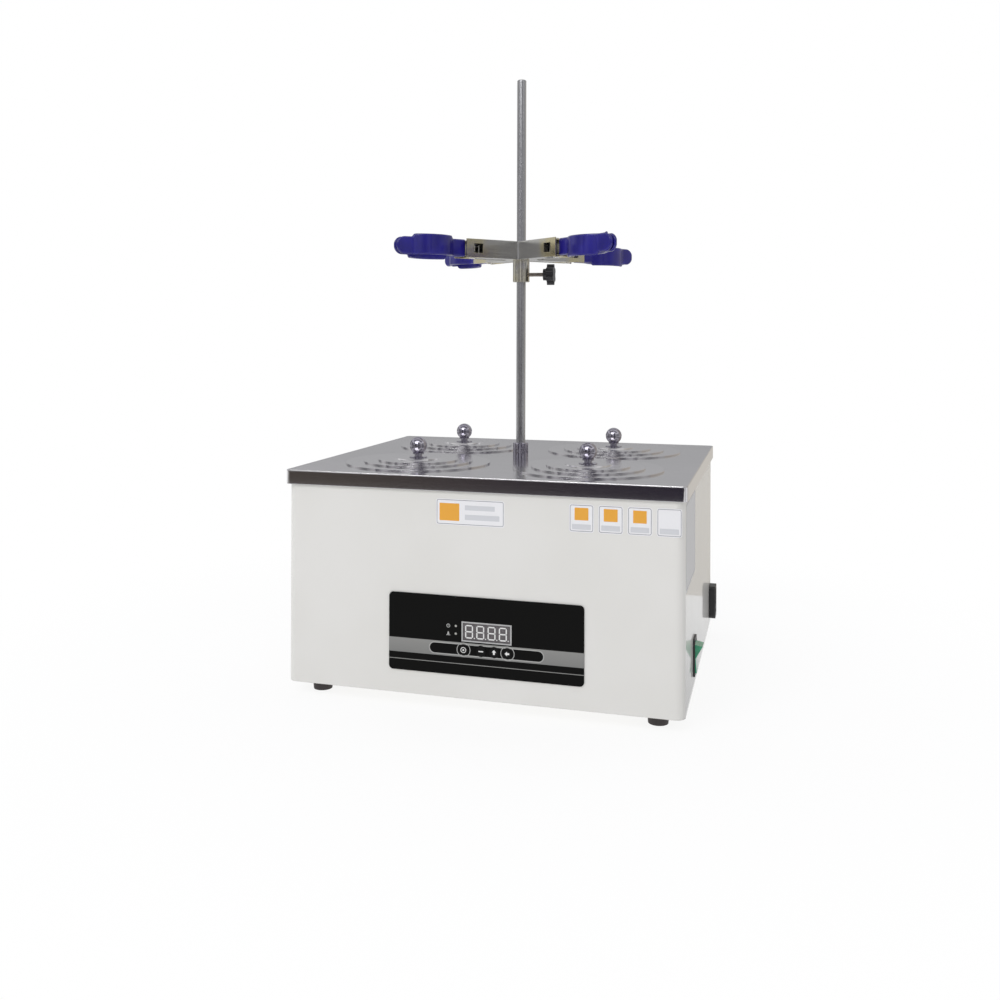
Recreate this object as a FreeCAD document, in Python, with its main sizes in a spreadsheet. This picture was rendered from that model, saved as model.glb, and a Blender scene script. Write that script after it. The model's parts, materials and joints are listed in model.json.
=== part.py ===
import FreeCAD, Part

import math
import os

import Sketcher

# Four-place chemical oxygen demand bath. All lengths are millimetres, +Z is up and the bench is z = 0.
# Pieces are drawn about the support rod's axis, and axis_x and axis_y set that axis in the part's frame,
# whose origin is the middle of the whole footprint.

SIZES = {
    # Painted sheet case
    "case_width": 425.0,
    "case_depth": 382.0,
    "body_height": 229.0,
    "case_corner": 10.0,
    "case_wall": 1.2,
    "case_flange": 11.0,
    "case_flange_corner": 5.0,
    "fit_gap": 0.3,
    "hole_gap": 0.1,
    "overrun": 2.0,
    # Rubber feet and the screws that hold them and the rear panel
    "foot_height": 14.0,
    "foot_inset": 29.0,
    "foot_top_radius": 11.75,
    "foot_bottom_radius": 10.2,
    "foot_recess_radius": 4.6,
    "foot_recess_depth": 6.0,
    "screw_radius": 2.0,
    "screw_length": 14.0,
    "screw_head_radius": 3.8,
    "screw_head_height": 2.4,
    # Base plate with its cooling slots
    "base_sheet": 1.5,
    "base_slot_length": 60.0,
    "base_slot_width": 5.0,
    "base_slot_pitch": 14.0,
    "base_slot_row_y": 70.0,
    # Rear service panel with its cooling slots
    "rear_panel_width": 300.0,
    "rear_panel_height": 88.0,
    "rear_panel_sheet": 1.2,
    "rear_panel_lap": 9.0,
    "rear_panel_lift": 10.0,
    "rear_panel_corner": 6.0,
    "rear_slot_length": 44.0,
    "rear_slot_width": 3.5,
    "rear_slot_pitch": 9.0,
    "rear_slot_column_x": 95.0,
    # Stainless cover
    "cover_overhang": 2.5,
    "cover_skirt": 15.5,
    "cover_corner": 5.0,
    "cover_sheet": 1.2,
    "cover_edge_round": 1.0,
    "place_x": 98.5,
    "place_y": 90.5,
    "hole_radius": 78.0,
    # Nested lids, each a spun disc that rests on the one below
    "lid_rise": 1.6,
    "lid_sheet": 0.9,
    "lid_lip_depth": 4.0,
    "lid_play": 0.9,
    "outer_ring_radius": 82.8,
    "outer_ring_opening": 59.0,
    "middle_ring_radius": 62.5,
    "middle_ring_opening": 42.8,
    "cap_radius": 46.3,
    "cap_boss_radius": 26.3,
    "cap_boss_rise": 1.0,
    # Chrome knob on each cap
    "knob_ball_radius": 10.0,
    "knob_height": 23.5,
    "knob_flange_radius": 10.2,
    "knob_flange_height": 1.4,
    "knob_neck_radius": 4.4,
    "knob_bead_radius": 6.4,
    "knob_bead_height": 1.6,
    "knob_stud_radius": 2.5,
    "knob_stud_length": 8.0,
    # Stainless water tank
    "tank_margin": 5.0,
    "tank_depth": 115.0,
    "tank_sheet": 1.0,
    "tank_corner": 22.0,
    "insulation_thickness": 4.5,
    # Perforated flask shelf
    "shelf_sheet": 1.5,
    "shelf_gap": 6.0,
    "shelf_height": 30.0,
    "shelf_corner": 16.0,
    "shelf_leg_length": 250.0,
    "shelf_hole_radius": 12.0,
    "shelf_hole_pitch_x": 62.0,
    "shelf_hole_pitch_y": 74.0,
    # Immersion heater and its glands in the left wall
    "heater_radius": 4.0,
    "heater_height": 14.0,
    "heater_bend": 26.0,
    "heater_end_gap": 26.0,
    "heater_tail": 20.0,
    "gland_radius": 7.0,
    "gland_collar_radius": 10.5,
    "gland_collar": 3.0,
    "gland_nut": 7.0,
    # Temperature probe in the left wall
    "probe_radius": 3.0,
    "probe_reach": 62.0,
    "probe_y": 118.0,
    "probe_height": 62.0,
    "probe_thread_radius": 5.0,
    "probe_collar_radius": 8.0,
    "probe_collar": 3.0,
    "probe_head": 9.0,
    # Overheat thermostat under the tank
    "thermostat_radius": 8.0,
    "thermostat_flange_radius": 11.5,
    "thermostat_flange": 1.0,
    "thermostat_height": 7.0,
    "thermostat_y": 60.0,
    "thermostat_blade_width": 6.3,
    "thermostat_blade_sheet": 0.8,
    "thermostat_blade_length": 8.0,
    "thermostat_blade_spacing": 8.0,
    # Rod, its socket and the nut under the cover
    "rod_radius": 5.5,
    "rod_above_cover": 453.5,
    "rod_chamfer": 1.0,
    "rod_play": 0.06,
    "socket_radius": 9.2,
    "socket_height": 17.0,
    "socket_chamfer": 0.8,
    "socket_spigot_radius": 7.5,
    "socket_spigot_length": 14.0,
    "socket_floor": 3.0,
    "socket_nut_flats": 22.0,
    "socket_nut_height": 7.0,
    # Drain valve at the back
    "drain_x": -120.0,
    "drain_height": 12.0,
    "drain_pipe_radius": 6.5,
    "drain_bore_radius": 4.0,
    "drain_collar_radius": 10.0,
    "drain_collar": 5.0,
    "drain_chamber_radius": 11.5,
    "drain_chamber_length": 23.0,
    "drain_ball_radius": 7.5,
    "drain_barb_radius": 6.2,
    "drain_barb_root": 5.2,
    "drain_barb_pitch": 5.0,
    "drain_bonnet_radius": 6.0,
    "drain_bonnet_height": 17.0,
    "drain_stem_radius": 3.0,
    "drain_stem_rise": 2.0,
    "lever_length": 46.0,
    "lever_width": 11.0,
    "lever_sheet": 3.0,
    # Control panel on the front
    "panel_x": 9.3,
    "panel_z": 64.8,
    "panel_width": 207.8,
    "panel_height": 81.0,
    "panel_sheet": 1.2,
    "panel_corner": 4.5,
    "panel_lap": 6.0,
    "window_x": 11.8,
    "window_z": 69.6,
    "window_width": 53.5,
    "window_height": 20.8,
    "display_frame": 1.5,
    "display_recess": 0.6,
    "light_x": -21.2,
    "light_upper_z": 74.5,
    "light_lower_z": 66.6,
    "light_radius": 1.4,
    # Four round keys
    "key_z": 50.7,
    "key_1_x": -12.6,
    "key_2_x": 6.1,
    "key_3_x": 20.1,
    "key_4_x": 34.2,
    "key_radius": 5.5,
    "key_flange_radius": 6.5,
    "key_flange": 1.0,
    "key_proud": 0.8,
    "key_travel": 0.5,
    "key_stem_radius": 1.6,
    # Controller board behind the panel
    "board_width": 150.0,
    "board_height": 66.0,
    "board_z": 76.0,
    "board_sheet": 1.6,
    "board_standoff": 11.0,
    "board_standoff_radius": 3.0,
    "board_standoff_inset": 6.0,
    "board_switch": 6.0,
    "board_switch_height": 4.0,
    "transformer_width": 36.0,
    "transformer_height": 30.0,
    "transformer_depth": 26.0,
    "transformer_x": 45.0,
    # Solid-state relay and terminal block on the base plate
    "relay_x": -90.0,
    "relay_y": -20.0,
    "relay_width": 45.0,
    "relay_length": 58.0,
    "relay_base": 5.0,
    "relay_height": 24.0,
    "relay_ledge": 8.0,
    "relay_ledge_drop": 9.0,
    "terminals_x": 90.0,
    "terminals_y": 40.0,
    "terminals_width": 24.0,
    "terminals_pitch": 12.0,
    "terminals_height": 17.0,
    "terminals_wall": 1.6,
    "terminals_pocket": 9.0,
    # Rocker switch low on the right wall
    "switch_y": -84.0,
    "switch_z": 33.0,
    "switch_width": 25.0,
    "switch_height": 40.0,
    "switch_bezel": 2.0,
    "switch_corner": 2.5,
    "switch_rim": 2.0,
    "switch_wall": 1.2,
    "switch_cavity_depth": 16.0,
    "switch_body_depth": 24.0,
    "rocker_pivot_depth": 3.0,
    "rocker_pin_radius": 1.5,
    "rocker_pin_length": 0.9,
    "rocker_edge_reach": 10.0,
    "rocker_middle_reach": 5.6,
    "rocker_half_height": 14.6,
    "rocker_back_reach": 7.0,
    # Mains inlet near the back of the right wall
    "inlet_y": 166.0,
    "inlet_z": 30.5,
    "inlet_width": 27.0,
    "inlet_height": 41.0,
    "inlet_proud": 8.0,
    "inlet_corner": 5.0,
    "inlet_body_width": 22.0,
    "inlet_body_height": 36.0,
    "inlet_body_depth": 18.0,
    "inlet_socket_width": 16.5,
    "inlet_socket_height": 24.0,
    "inlet_socket_depth": 17.0,
    "inlet_socket_corner": 3.0,
    "inlet_socket_lift": 5.0,
    "inlet_pin_width": 2.0,
    "inlet_pin_height": 4.0,
    "inlet_pin_length": 12.0,
    "inlet_pin_spread": 7.0,
    "inlet_pin_step": 4.0,
    "fuse_width": 16.0,
    "fuse_height": 6.5,
    "fuse_groove": 0.8,
    # Four-armed condenser clamp on the rod
    "head_height": 439.0,
    "hub_radius": 10.0,
    "hub_tail": 26.0,
    "arm_height": 21.5,
    "arm_half_gap": 12.4,
    "arm_sheet": 1.2,
    "arm_reach": 86.0,
    "arm_bend": 2.5,
    "arm_window_length": 13.0,
    "arm_window_height": 11.0,
    "web_sheet": 1.5,
    "web_inset": 0.6,
    "web_reach": 76.0,
    "pivot_reach": 70.0,
    "pivot_radius": 2.0,
    "pivot_head_radius": 3.4,
    "pivot_head": 1.1,
    "spring_wire_radius": 0.5,
    "spring_coil_radius": 2.9,
    "spring_pitch": 1.8,
    "spring_tail": 8.0,
    # Vinyl-dipped jaws, along and across the arm from the pivot pin
    "knuckle_radius": 4.2,
    "knuckle_height": 4.0,
    "jaw_steel": 1.5,
    "jaw_coat": 4.0,
    "jaw_height": 20.0,
    "jaw_pad_rise": 3.3,
    "jaw_leg_start": 6.0,
    "jaw_heel": 9.0,
    "jaw_coat_start": 14.0,
    "jaw_pad_start": 32.0,
    "jaw_pad_end": 83.0,
    "jaw_length": 102.0,
    "jaw_root_across": 3.4,
    "jaw_start_across": 4.8,
    "jaw_pad_across": 16.5,
    "jaw_shoulder_across": 6.4,
    "jaw_waist_across": 5.0,
    "jaw_tip_across": 2.9,
    # Thumbscrew that holds the head on the rod
    "thumbscrew_drop": 17.5,
    "thumbscrew_radius": 2.3,
    "thumbscrew_shank": 17.0,
    "thumbscrew_neck_radius": 7.0,
    "thumbscrew_neck": 4.5,
    "thumbscrew_knob": 8.5,
    "thumbscrew_core_radius": 9.6,
    "thumbscrew_lobe_radius": 3.4,
    "thumbscrew_lobe_reach": 9.1,
}

# Six corners of a unit hexagon whose flats are one unit apart
HEXAGON_SHARES = [
    (math.cos(math.radians(60 * turn)) / math.sqrt(3), math.sin(math.radians(60 * turn)) / math.sqrt(3))
    for turn in range(6)
]
PLACE_SIGNS = {"front_left": (-1, -1), "front_right": (1, -1), "back_left": (-1, 1), "back_right": (1, 1)}
KEY_COUNT = 4
LOBE_COUNT = 6
SPRING_TURNS = 2
FULL_TURN = 360
ARM_ANGLE_DEGREES = -41.0
ROCKER_TILT_DEGREES = 12.0

document = FreeCAD.newDocument("cod_bath")
sheet = document.addObject("Spreadsheet::Sheet", "Sizes")


class Size:
    """A length that knows its number and the sheet formula that gives it."""

    def __init__(self, number, formula):
        self.number = number
        self.formula = formula

    def __add__(self, other):
        return combine(self, other, "+", self.number + number_of(other))

    def __radd__(self, other):
        return combine(other, self, "+", number_of(other) + self.number)

    def __sub__(self, other):
        return combine(self, other, "-", self.number - number_of(other))

    def __rsub__(self, other):
        return combine(other, self, "-", number_of(other) - self.number)

    def __mul__(self, other):
        return combine(self, other, "*", self.number * number_of(other))

    def __rmul__(self, other):
        return combine(other, self, "*", number_of(other) * self.number)

    def __truediv__(self, other):
        return combine(self, other, "/", self.number / number_of(other))

    def __neg__(self):
        return Size(-self.number, "(0 - " + self.formula + ")")

    def __float__(self):
        return float(self.number)


def number_of(value):
    return value.number if isinstance(value, Size) else value


def formula_of(value):
    return value.formula if isinstance(value, Size) else repr(value)


def combine(first, second, sign, number):
    return Size(number, "(" + formula_of(first) + " " + sign + " " + formula_of(second) + ")")


class Sheet:
    """The spreadsheet's cells, each read as an attribute by its alias."""

    def __init__(self):
        self.row = 0

    def write(self, alias, text, number):
        self.row += 1
        cell = "B" + str(self.row)
        sheet.set("A" + str(self.row), alias)
        sheet.set(cell, text)
        sheet.setAlias(cell, alias)
        setattr(self, alias, Size(number, "Sizes." + alias))

    def derive(self, alias, size):
        self.write(alias, "=" + size.formula.replace("Sizes.", ""), size.number)


S = Sheet()
for size_name, size_number in SIZES.items():
    S.write(size_name, str(size_number), size_number)

# Levels and widths that several pieces share
S.derive("case_bottom", S.foot_height)
S.derive("cover_top", S.foot_height + S.body_height)
S.derive("cover_under", S.cover_top - S.cover_sheet)
S.derive("wall_top", S.cover_under - S.tank_sheet)
S.derive("tank_bottom", S.wall_top - S.tank_depth)
S.derive("tank_floor", S.tank_bottom + S.tank_sheet)
S.derive("tank_length", 2 * (S.place_x + S.hole_radius + S.tank_margin))
S.derive("tank_width", 2 * (S.place_y + S.hole_radius + S.tank_margin))
S.derive("base_under", S.case_bottom + S.case_wall)
S.derive("base_top", S.base_under + S.base_sheet)
S.derive("front_face", -S.case_depth / 2)
S.derive("rear_face", S.case_depth / 2)
S.derive("right_face", S.case_width / 2)
S.derive("drain_level", S.tank_floor + S.drain_height)
S.derive("drain_centre_y", S.rear_face + S.drain_collar + S.drain_chamber_length / 2)
S.derive("drain_end_y", S.rear_face + S.drain_collar + S.drain_chamber_length + 3 * S.drain_barb_pitch)
S.derive("arm_bottom", S.case_bottom + S.head_height + S.hub_tail)
S.derive("arm_middle", S.arm_bottom + S.arm_height / 2)
S.derive("arm_top", S.arm_bottom + S.arm_height)
S.derive("rod_bottom", S.cover_top - S.socket_spigot_length + S.socket_floor)
S.derive("rod_top", S.cover_top + S.rod_above_cover)
S.derive("window_level", S.case_bottom + S.window_z)
S.derive("panel_level", S.case_bottom + S.panel_z)
S.derive("key_level", S.case_bottom + S.key_z)
S.derive("board_front", S.front_face + S.case_wall + S.board_standoff)
S.derive("switch_level", S.case_bottom + S.switch_z)
S.derive("inlet_level", S.case_bottom + S.inlet_z)
S.derive("cavity_width", S.switch_width - 2 * (S.switch_rim + S.switch_wall))
S.derive("cavity_height", S.switch_height - 2 * (S.switch_rim + S.switch_wall))
rocker_tilt = math.radians(ROCKER_TILT_DEGREES)
rocker_reach = (
    float(S.rocker_edge_reach) * math.cos(rocker_tilt)
    + float(S.rocker_half_height) * math.sin(rocker_tilt)
    - float(S.rocker_pivot_depth)
)
S.write("rocker_reach", repr(rocker_reach), rocker_reach)
S.derive("axis_x", (S.cover_overhang - S.rocker_reach) / 2)
S.derive("axis_y", (S.cover_overhang + S.rear_face - S.drain_end_y) / 2)
document.recompute()

nodes = []


def bind(item, name, size):
    """Ties one property of a feature to the sheet, or leaves it alone where the value is nought."""
    if isinstance(size, Size):
        item.setExpression(name, size.formula)


def place(item, x=0, y=0, z=0, rotation=None):
    """Sets where a piece stands, measured from the rod's axis at the bench."""
    if rotation is not None:
        item.Placement = FreeCAD.Placement(FreeCAD.Vector(), rotation)
    bind(item, ".Placement.Base.x", S.axis_x + x)
    bind(item, ".Placement.Base.y", S.axis_y + y)
    bind(item, ".Placement.Base.z", z)


def new_body(name):
    return document.addObject("PartDesign::Body", name)


def keep(item, label, **where):
    """Marks a finished piece as a node of the model and puts it in its place."""
    item.Label = label
    place(item, **where)
    nodes.append(item)
    return item


def new_sketch(body, name, plane, level):
    """Adds a sketch on one of the body's own planes, moved along that plane's axis to a level."""
    sketch = body.newObject("Sketcher::SketchObject", name)
    support = [feature for feature in body.Origin.OriginFeatures if feature.Role == plane]
    sketch.AttachmentSupport = (support[0], [""])
    sketch.MapMode = "FlatFace"
    facing = -1 if plane == "XZ_Plane" else 1
    bind(sketch, ".AttachmentOffset.Base.z", facing * level)
    return sketch


def fix_point(sketch, geometry, vertex, x, y):
    """Ties one point of a sketch to the sheet by its two coordinates."""
    for kind, value in (("DistanceX", x), ("DistanceY", y)):
        index = sketch.addConstraint(Sketcher.Constraint(kind, geometry, vertex, float(value)))
        title = kind + str(index)
        sketch.renameConstraint(index, title)
        bind(sketch, "Constraints." + title, value)


def polygon(sketch, points):
    """Draws a closed outline of straight lines."""
    corners = [FreeCAD.Vector(float(x), float(y), 0) for x, y in points]
    first = sketch.GeometryCount
    count = len(corners)
    for index in range(count):
        line = Part.LineSegment(corners[index], corners[(index + 1) % count])
        sketch.addGeometry(line, False)
    for index in range(count):
        following = first + (index + 1) % count
        sketch.addConstraint(Sketcher.Constraint("Coincident", first + index, 2, following, 1))
    for index, (x, y) in enumerate(points):
        fix_point(sketch, first + index, 1, x, y)


def box_outline(sketch, x, y, width, height):
    """Draws a rectangle about its middle."""
    left, right = x - width / 2, x + width / 2
    low, high = y - height / 2, y + height / 2
    polygon(sketch, [(left, low), (right, low), (right, high), (left, high)])


def circle(sketch, x, y, radius):
    centre = FreeCAD.Vector(float(x), float(y), 0)
    index = sketch.addGeometry(Part.Circle(centre, FreeCAD.Vector(0, 0, 1), float(radius)), False)
    fix_point(sketch, index, 3, x, y)
    constraint = sketch.addConstraint(Sketcher.Constraint("Radius", index, float(radius)))
    title = "Radius" + str(constraint)
    sketch.renameConstraint(constraint, title)
    bind(sketch, "Constraints." + title, radius)


def rounded_box(sketch, x, y, width, height, radius):
    """Draws a rectangle with round corners: four lines joined by four tangent arcs."""
    left, right = float(x - width / 2), float(x + width / 2)
    low, high = float(y - height / 2), float(y + height / 2)
    r = float(radius)
    ends = [
        ((left + r, low), (right - r, low)),
        ((right, low + r), (right, high - r)),
        ((right - r, high), (left + r, high)),
        ((left, high - r), (left, low + r)),
    ]
    centres = [(right - r, low + r), (right - r, high - r), (left + r, high - r), (left + r, low + r)]
    first = sketch.GeometryCount
    for side, (start, end) in enumerate(ends):
        sketch.addGeometry(Part.LineSegment(FreeCAD.Vector(*start, 0), FreeCAD.Vector(*end, 0)), False)
        centre = FreeCAD.Vector(*centres[side], 0)
        ring = Part.Circle(centre, FreeCAD.Vector(0, 0, 1), r)
        quarter = math.pi / 2
        arc = Part.ArcOfCircle(ring, (side - 1) * quarter, side * quarter)
        sketch.addGeometry(arc, False)
    for side in range(4):
        line, arc = first + 2 * side, first + 2 * side + 1
        following = first + 2 * ((side + 1) % 4)
        sketch.addConstraint(Sketcher.Constraint("Tangent", line, 2, arc, 1))
        sketch.addConstraint(Sketcher.Constraint("Tangent", arc, 2, following, 1))
        kind = "Horizontal" if side % 2 == 0 else "Vertical"
        sketch.addConstraint(Sketcher.Constraint(kind, line))
        if side:
            sketch.addConstraint(Sketcher.Constraint("Equal", first + 1, arc))
    ties = [
        (Sketcher.Constraint("Radius", first + 1, r), radius),
        (Sketcher.Constraint("DistanceY", first, 1, low), y - height / 2),
        (Sketcher.Constraint("DistanceY", first + 4, 1, high), y + height / 2),
        (Sketcher.Constraint("DistanceX", first + 2, 1, right), x + width / 2),
        (Sketcher.Constraint("DistanceX", first + 6, 1, left), x - width / 2),
    ]
    for constraint, size in ties:
        index = sketch.addConstraint(constraint)
        title = "Side" + str(index)
        sketch.renameConstraint(index, title)
        bind(sketch, "Constraints." + title, size)


def pad(body, name, plane, low, high, draw, *sizes):
    """Fills an outline between two levels along the plane's axis."""
    sketch = new_sketch(body, name + "_outline", plane, low)
    draw(sketch, *sizes)
    feature = body.newObject("PartDesign::Pad", name)
    feature.Profile = sketch
    feature.Reversed = plane == "XZ_Plane"
    feature.Length = float(high - low)
    bind(feature, "Length", high - low)
    sketch.Visibility = False
    return feature


def pocket(body, name, plane, low, high, draw, *sizes):
    """Cuts an outline out of a body between two levels along the plane's axis."""
    facing_back = plane == "XZ_Plane"
    sketch = new_sketch(body, name + "_outline", plane, low if facing_back else high)
    draw(sketch, *sizes)
    feature = body.newObject("PartDesign::Pocket", name)
    feature.Profile = sketch
    feature.Length = float(high - low)
    bind(feature, "Length", high - low)
    return feature


def turn(body, name, axis, points, kind="PartDesign::Revolution"):
    """Turns an outline of (radius, along) points about the body's X, Y or Z axis."""
    plane = "YZ_Plane" if axis == "Y" else "XZ_Plane"
    sketch = new_sketch(body, name + "_outline", plane, 0)
    if axis == "Z":
        polygon(sketch, points)
    else:
        polygon(sketch, [(along, radius) for radius, along in points])
    feature = body.newObject(kind, name)
    feature.Profile = sketch
    feature.ReferenceAxis = (sketch, ["V_Axis" if axis == "Z" else "H_Axis"])
    feature.Angle = FULL_TURN
    return feature


def circles(sketch, points, radius):
    for x, y in points:
        circle(sketch, x, y, radius)


def box_outlines(sketch, points, width, height):
    for x, y in points:
        box_outline(sketch, x, y, width, height)


def rounded_frame(sketch, width, depth, corner, inner_width, inner_depth, inner_corner):
    """Draws the section of a sheet wall that runs round all four sides."""
    rounded_box(sketch, 0, 0, width, depth, corner)
    rounded_box(sketch, 0, 0, inner_width, inner_depth, inner_corner)


def hexagon(sketch, x, y, flats):
    polygon(sketch, [(x + flats * across, y + flats * up) for across, up in HEXAGON_SHARES])


def round_edges(body, name, radius, chosen):
    """Rounds the edges of the body's last shape that the test picks."""
    document.recompute()
    base = body.Tip
    picked = ["Edge" + str(index + 1) for index, edge in enumerate(base.Shape.Edges) if chosen(edge)]
    feature = body.newObject("PartDesign::Fillet", name)
    feature.Base = (base, picked)
    feature.Radius = float(radius)
    bind(feature, "Radius", radius)
    return feature


def edge_level(edge):
    """Gives an edge's height where the whole edge lies at one height, or nothing."""
    box = edge.BoundBox
    return box.ZMax if box.ZLength < float(S.hole_gap) else None


def group(label, members, **where):
    """Joins separate solids of the same kind into one node."""
    compound = document.addObject("Part::Compound", label + "_group")
    compound.Links = members
    return keep(compound, label, **where)


def shaped(label, shape, **where):
    """Makes a node from a shape that is worked out directly."""
    item = document.addObject("Part::Feature", label)
    item.Shape = shape
    return keep(item, label, **where)


# Case, its base, its rear panel, feet and screws

FOOT_SPOTS = [
    (sign_x * (S.case_width / 2 - S.foot_inset), sign_y * (S.case_depth / 2 - S.foot_inset))
    for sign_x, sign_y in PLACE_SIGNS.values()
]
rear_panel_level = S.base_top + S.rear_panel_lift + S.rear_panel_height / 2
REAR_SCREW_SPOTS = [
    (
        sign_x * (S.rear_panel_width / 2 - S.rear_panel_lap / 2),
        rear_panel_level + sign_z * (S.rear_panel_height / 2 - S.rear_panel_lap / 2),
    )
    for sign_x in (-1, 1)
    for sign_z in (-1, 1)
]


def make_outer_case():
    body = new_body("case_wrap")
    inner_width = S.case_width - 2 * S.case_wall
    inner_depth = S.case_depth - 2 * S.case_wall
    pad(body, "walls", "XY_Plane", S.case_bottom, S.wall_top, rounded_frame,
        S.case_width, S.case_depth, S.case_corner,
        inner_width, inner_depth, S.case_corner - S.case_wall)
    levels = {"bottom_flange": S.case_bottom, "top_flange": S.wall_top - S.case_wall}
    for name, low in levels.items():
        pad(body, name, "XY_Plane", low, low + S.case_wall, rounded_frame,
            S.case_width, S.case_depth, S.case_corner,
            S.case_width - 2 * S.case_flange, S.case_depth - 2 * S.case_flange, S.case_flange_corner)
    through = S.case_wall + S.overrun
    opening_left = S.light_x - S.panel_lap
    opening_right = S.key_4_x + S.key_flange_radius + S.panel_lap / 2
    opening_low = S.key_level - S.key_flange_radius - S.panel_lap / 2
    opening_high = S.window_level + S.window_height / 2 + S.panel_lap / 2
    pocket(body, "panel_opening", "XZ_Plane", S.front_face - S.overrun, S.front_face + through, box_outline,
           (opening_left + opening_right) / 2, (opening_low + opening_high) / 2,
           opening_right - opening_left, opening_high - opening_low)
    pocket(body, "service_opening", "XZ_Plane", S.rear_face - through, S.rear_face + S.overrun, rounded_box,
           0, rear_panel_level,
           S.rear_panel_width - 2 * S.rear_panel_lap, S.rear_panel_height - 2 * S.rear_panel_lap,
           S.rear_panel_corner)
    pocket(body, "rear_screw_holes", "XZ_Plane", S.rear_face - through, S.rear_face + S.overrun, circles,
           REAR_SCREW_SPOTS, S.screw_radius + S.hole_gap)
    pocket(body, "drain_hole", "XZ_Plane", S.rear_face - through, S.rear_face + S.overrun, circle,
           S.drain_x, S.drain_level, S.drain_pipe_radius + S.fit_gap)
    pocket(body, "switch_hole", "YZ_Plane", S.right_face - through, S.right_face + S.overrun, box_outline,
           S.switch_y, S.switch_level,
           S.switch_width - 2 * S.switch_rim + S.hole_gap, S.switch_height - 2 * S.switch_rim + S.hole_gap)
    pocket(body, "inlet_hole", "YZ_Plane", S.right_face - through, S.right_face + S.overrun, box_outline,
           S.inlet_y, S.inlet_level, S.inlet_body_width + S.hole_gap, S.inlet_body_height + S.hole_gap)
    keep(body, "outer_case")


def make_base_plate():
    body = new_body("base_sheet")
    inset = 2 * (S.case_wall + S.fit_gap)
    pad(body, "sheet", "XY_Plane", S.base_under, S.base_top, rounded_box,
        0, 0, S.case_width - inset, S.case_depth - inset, S.case_corner - S.case_wall)
    pocket(body, "foot_holes", "XY_Plane", S.base_under - S.overrun, S.base_top + S.overrun, circles,
           FOOT_SPOTS, S.screw_radius + S.hole_gap)
    slots = [(step * S.base_slot_pitch, side * S.base_slot_row_y) for step in range(-4, 5) for side in (-1, 1)]
    pocket(body, "cooling_slots", "XY_Plane", S.base_under - S.overrun, S.base_top + S.overrun, box_outlines,
           slots, S.base_slot_width, S.base_slot_length)
    keep(body, "base_plate")


def make_rear_panel():
    body = new_body("rear_sheet")
    pad(body, "sheet", "XZ_Plane", S.rear_face, S.rear_face + S.rear_panel_sheet, rounded_box,
        0, rear_panel_level, S.rear_panel_width, S.rear_panel_height, S.rear_panel_corner)
    front, back = S.rear_face - S.overrun, S.rear_face + S.rear_panel_sheet + S.overrun
    slots = [
        (column * S.rear_slot_column_x, rear_panel_level + step * S.rear_slot_pitch)
        for column in (-1, 0, 1)
        for step in range(-3, 4)
    ]
    pocket(body, "cooling_slots", "XZ_Plane", front, back, box_outlines,
           slots, S.rear_slot_length, S.rear_slot_width)
    pocket(body, "screw_holes", "XZ_Plane", front, back, circles, REAR_SCREW_SPOTS, S.screw_radius + S.hole_gap)
    keep(body, "rear_panel")


def make_feet():
    feet = []
    for corner, (x, y) in zip(PLACE_SIGNS, FOOT_SPOTS):
        body = new_body("foot_" + corner)
        turn(body, "rubber", "Z", [
            (S.foot_recess_radius, 0),
            (S.foot_bottom_radius, 0),
            (S.foot_top_radius, S.base_under),
            (S.screw_radius + S.hole_gap, S.base_under),
            (S.screw_radius + S.hole_gap, S.foot_recess_depth),
            (S.foot_recess_radius, S.foot_recess_depth),
        ])
        bind(body, ".Placement.Base.x", x)
        bind(body, ".Placement.Base.y", y)
        feet.append(body)
    group("rubber_feet", feet)


def make_screw(name, axis, seat, direction):
    """Makes one cheese-head screw whose head rests at the seat and whose shank runs from it."""
    body = new_body(name)
    head = seat - direction * S.screw_head_height
    tip = seat + direction * S.screw_length
    turn(body, "screw", axis, [
        (0, head),
        (S.screw_head_radius, head),
        (S.screw_head_radius, seat),
        (S.screw_radius, seat),
        (S.screw_radius, tip),
        (0, tip),
    ])
    return body


def make_screws():
    screws = []
    for number, (x, y) in enumerate(FOOT_SPOTS):
        body = make_screw("foot_screw_" + str(number + 1), "Z", S.foot_recess_depth, 1)
        bind(body, ".Placement.Base.x", x)
        bind(body, ".Placement.Base.y", y)
        screws.append(body)
    for number, (x, z) in enumerate(REAR_SCREW_SPOTS):
        body = make_screw("rear_screw_" + str(number + 1), "Y", S.rear_face + S.rear_panel_sheet, -1)
        bind(body, ".Placement.Base.x", x)
        bind(body, ".Placement.Base.z", z)
        screws.append(body)
    group("case_screws", screws)


# Cover and the four stacks of lids

PLACES = {name: (sign_x * S.place_x, sign_y * S.place_y) for name, (sign_x, sign_y) in PLACE_SIGNS.items()}


def make_top_deck():
    body = new_body("cover")
    width = S.case_width + 2 * S.cover_overhang
    depth = S.case_depth + 2 * S.cover_overhang
    corner = S.cover_corner
    skirt_bottom = S.cover_top - S.cover_skirt
    pad(body, "block", "XY_Plane", skirt_bottom, S.cover_top, rounded_box, 0, 0, width, depth, corner)
    top = float(S.cover_top)
    round_edges(body, "top_round", S.cover_edge_round, lambda edge: edge_level(edge) == top)
    pocket(body, "hollow", "XY_Plane", skirt_bottom - S.overrun, S.cover_under, rounded_box,
           0, 0, width - 2 * S.cover_sheet, depth - 2 * S.cover_sheet, corner - S.cover_sheet)
    low, high = S.cover_under - S.overrun, S.cover_top + S.overrun
    pocket(body, "place_holes", "XY_Plane", low, high, circles, PLACES.values(), S.hole_radius)
    pocket(body, "socket_hole", "XY_Plane", low, high, circle, 0, 0, S.socket_spigot_radius + S.hole_gap)
    keep(body, "top_deck")


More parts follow.
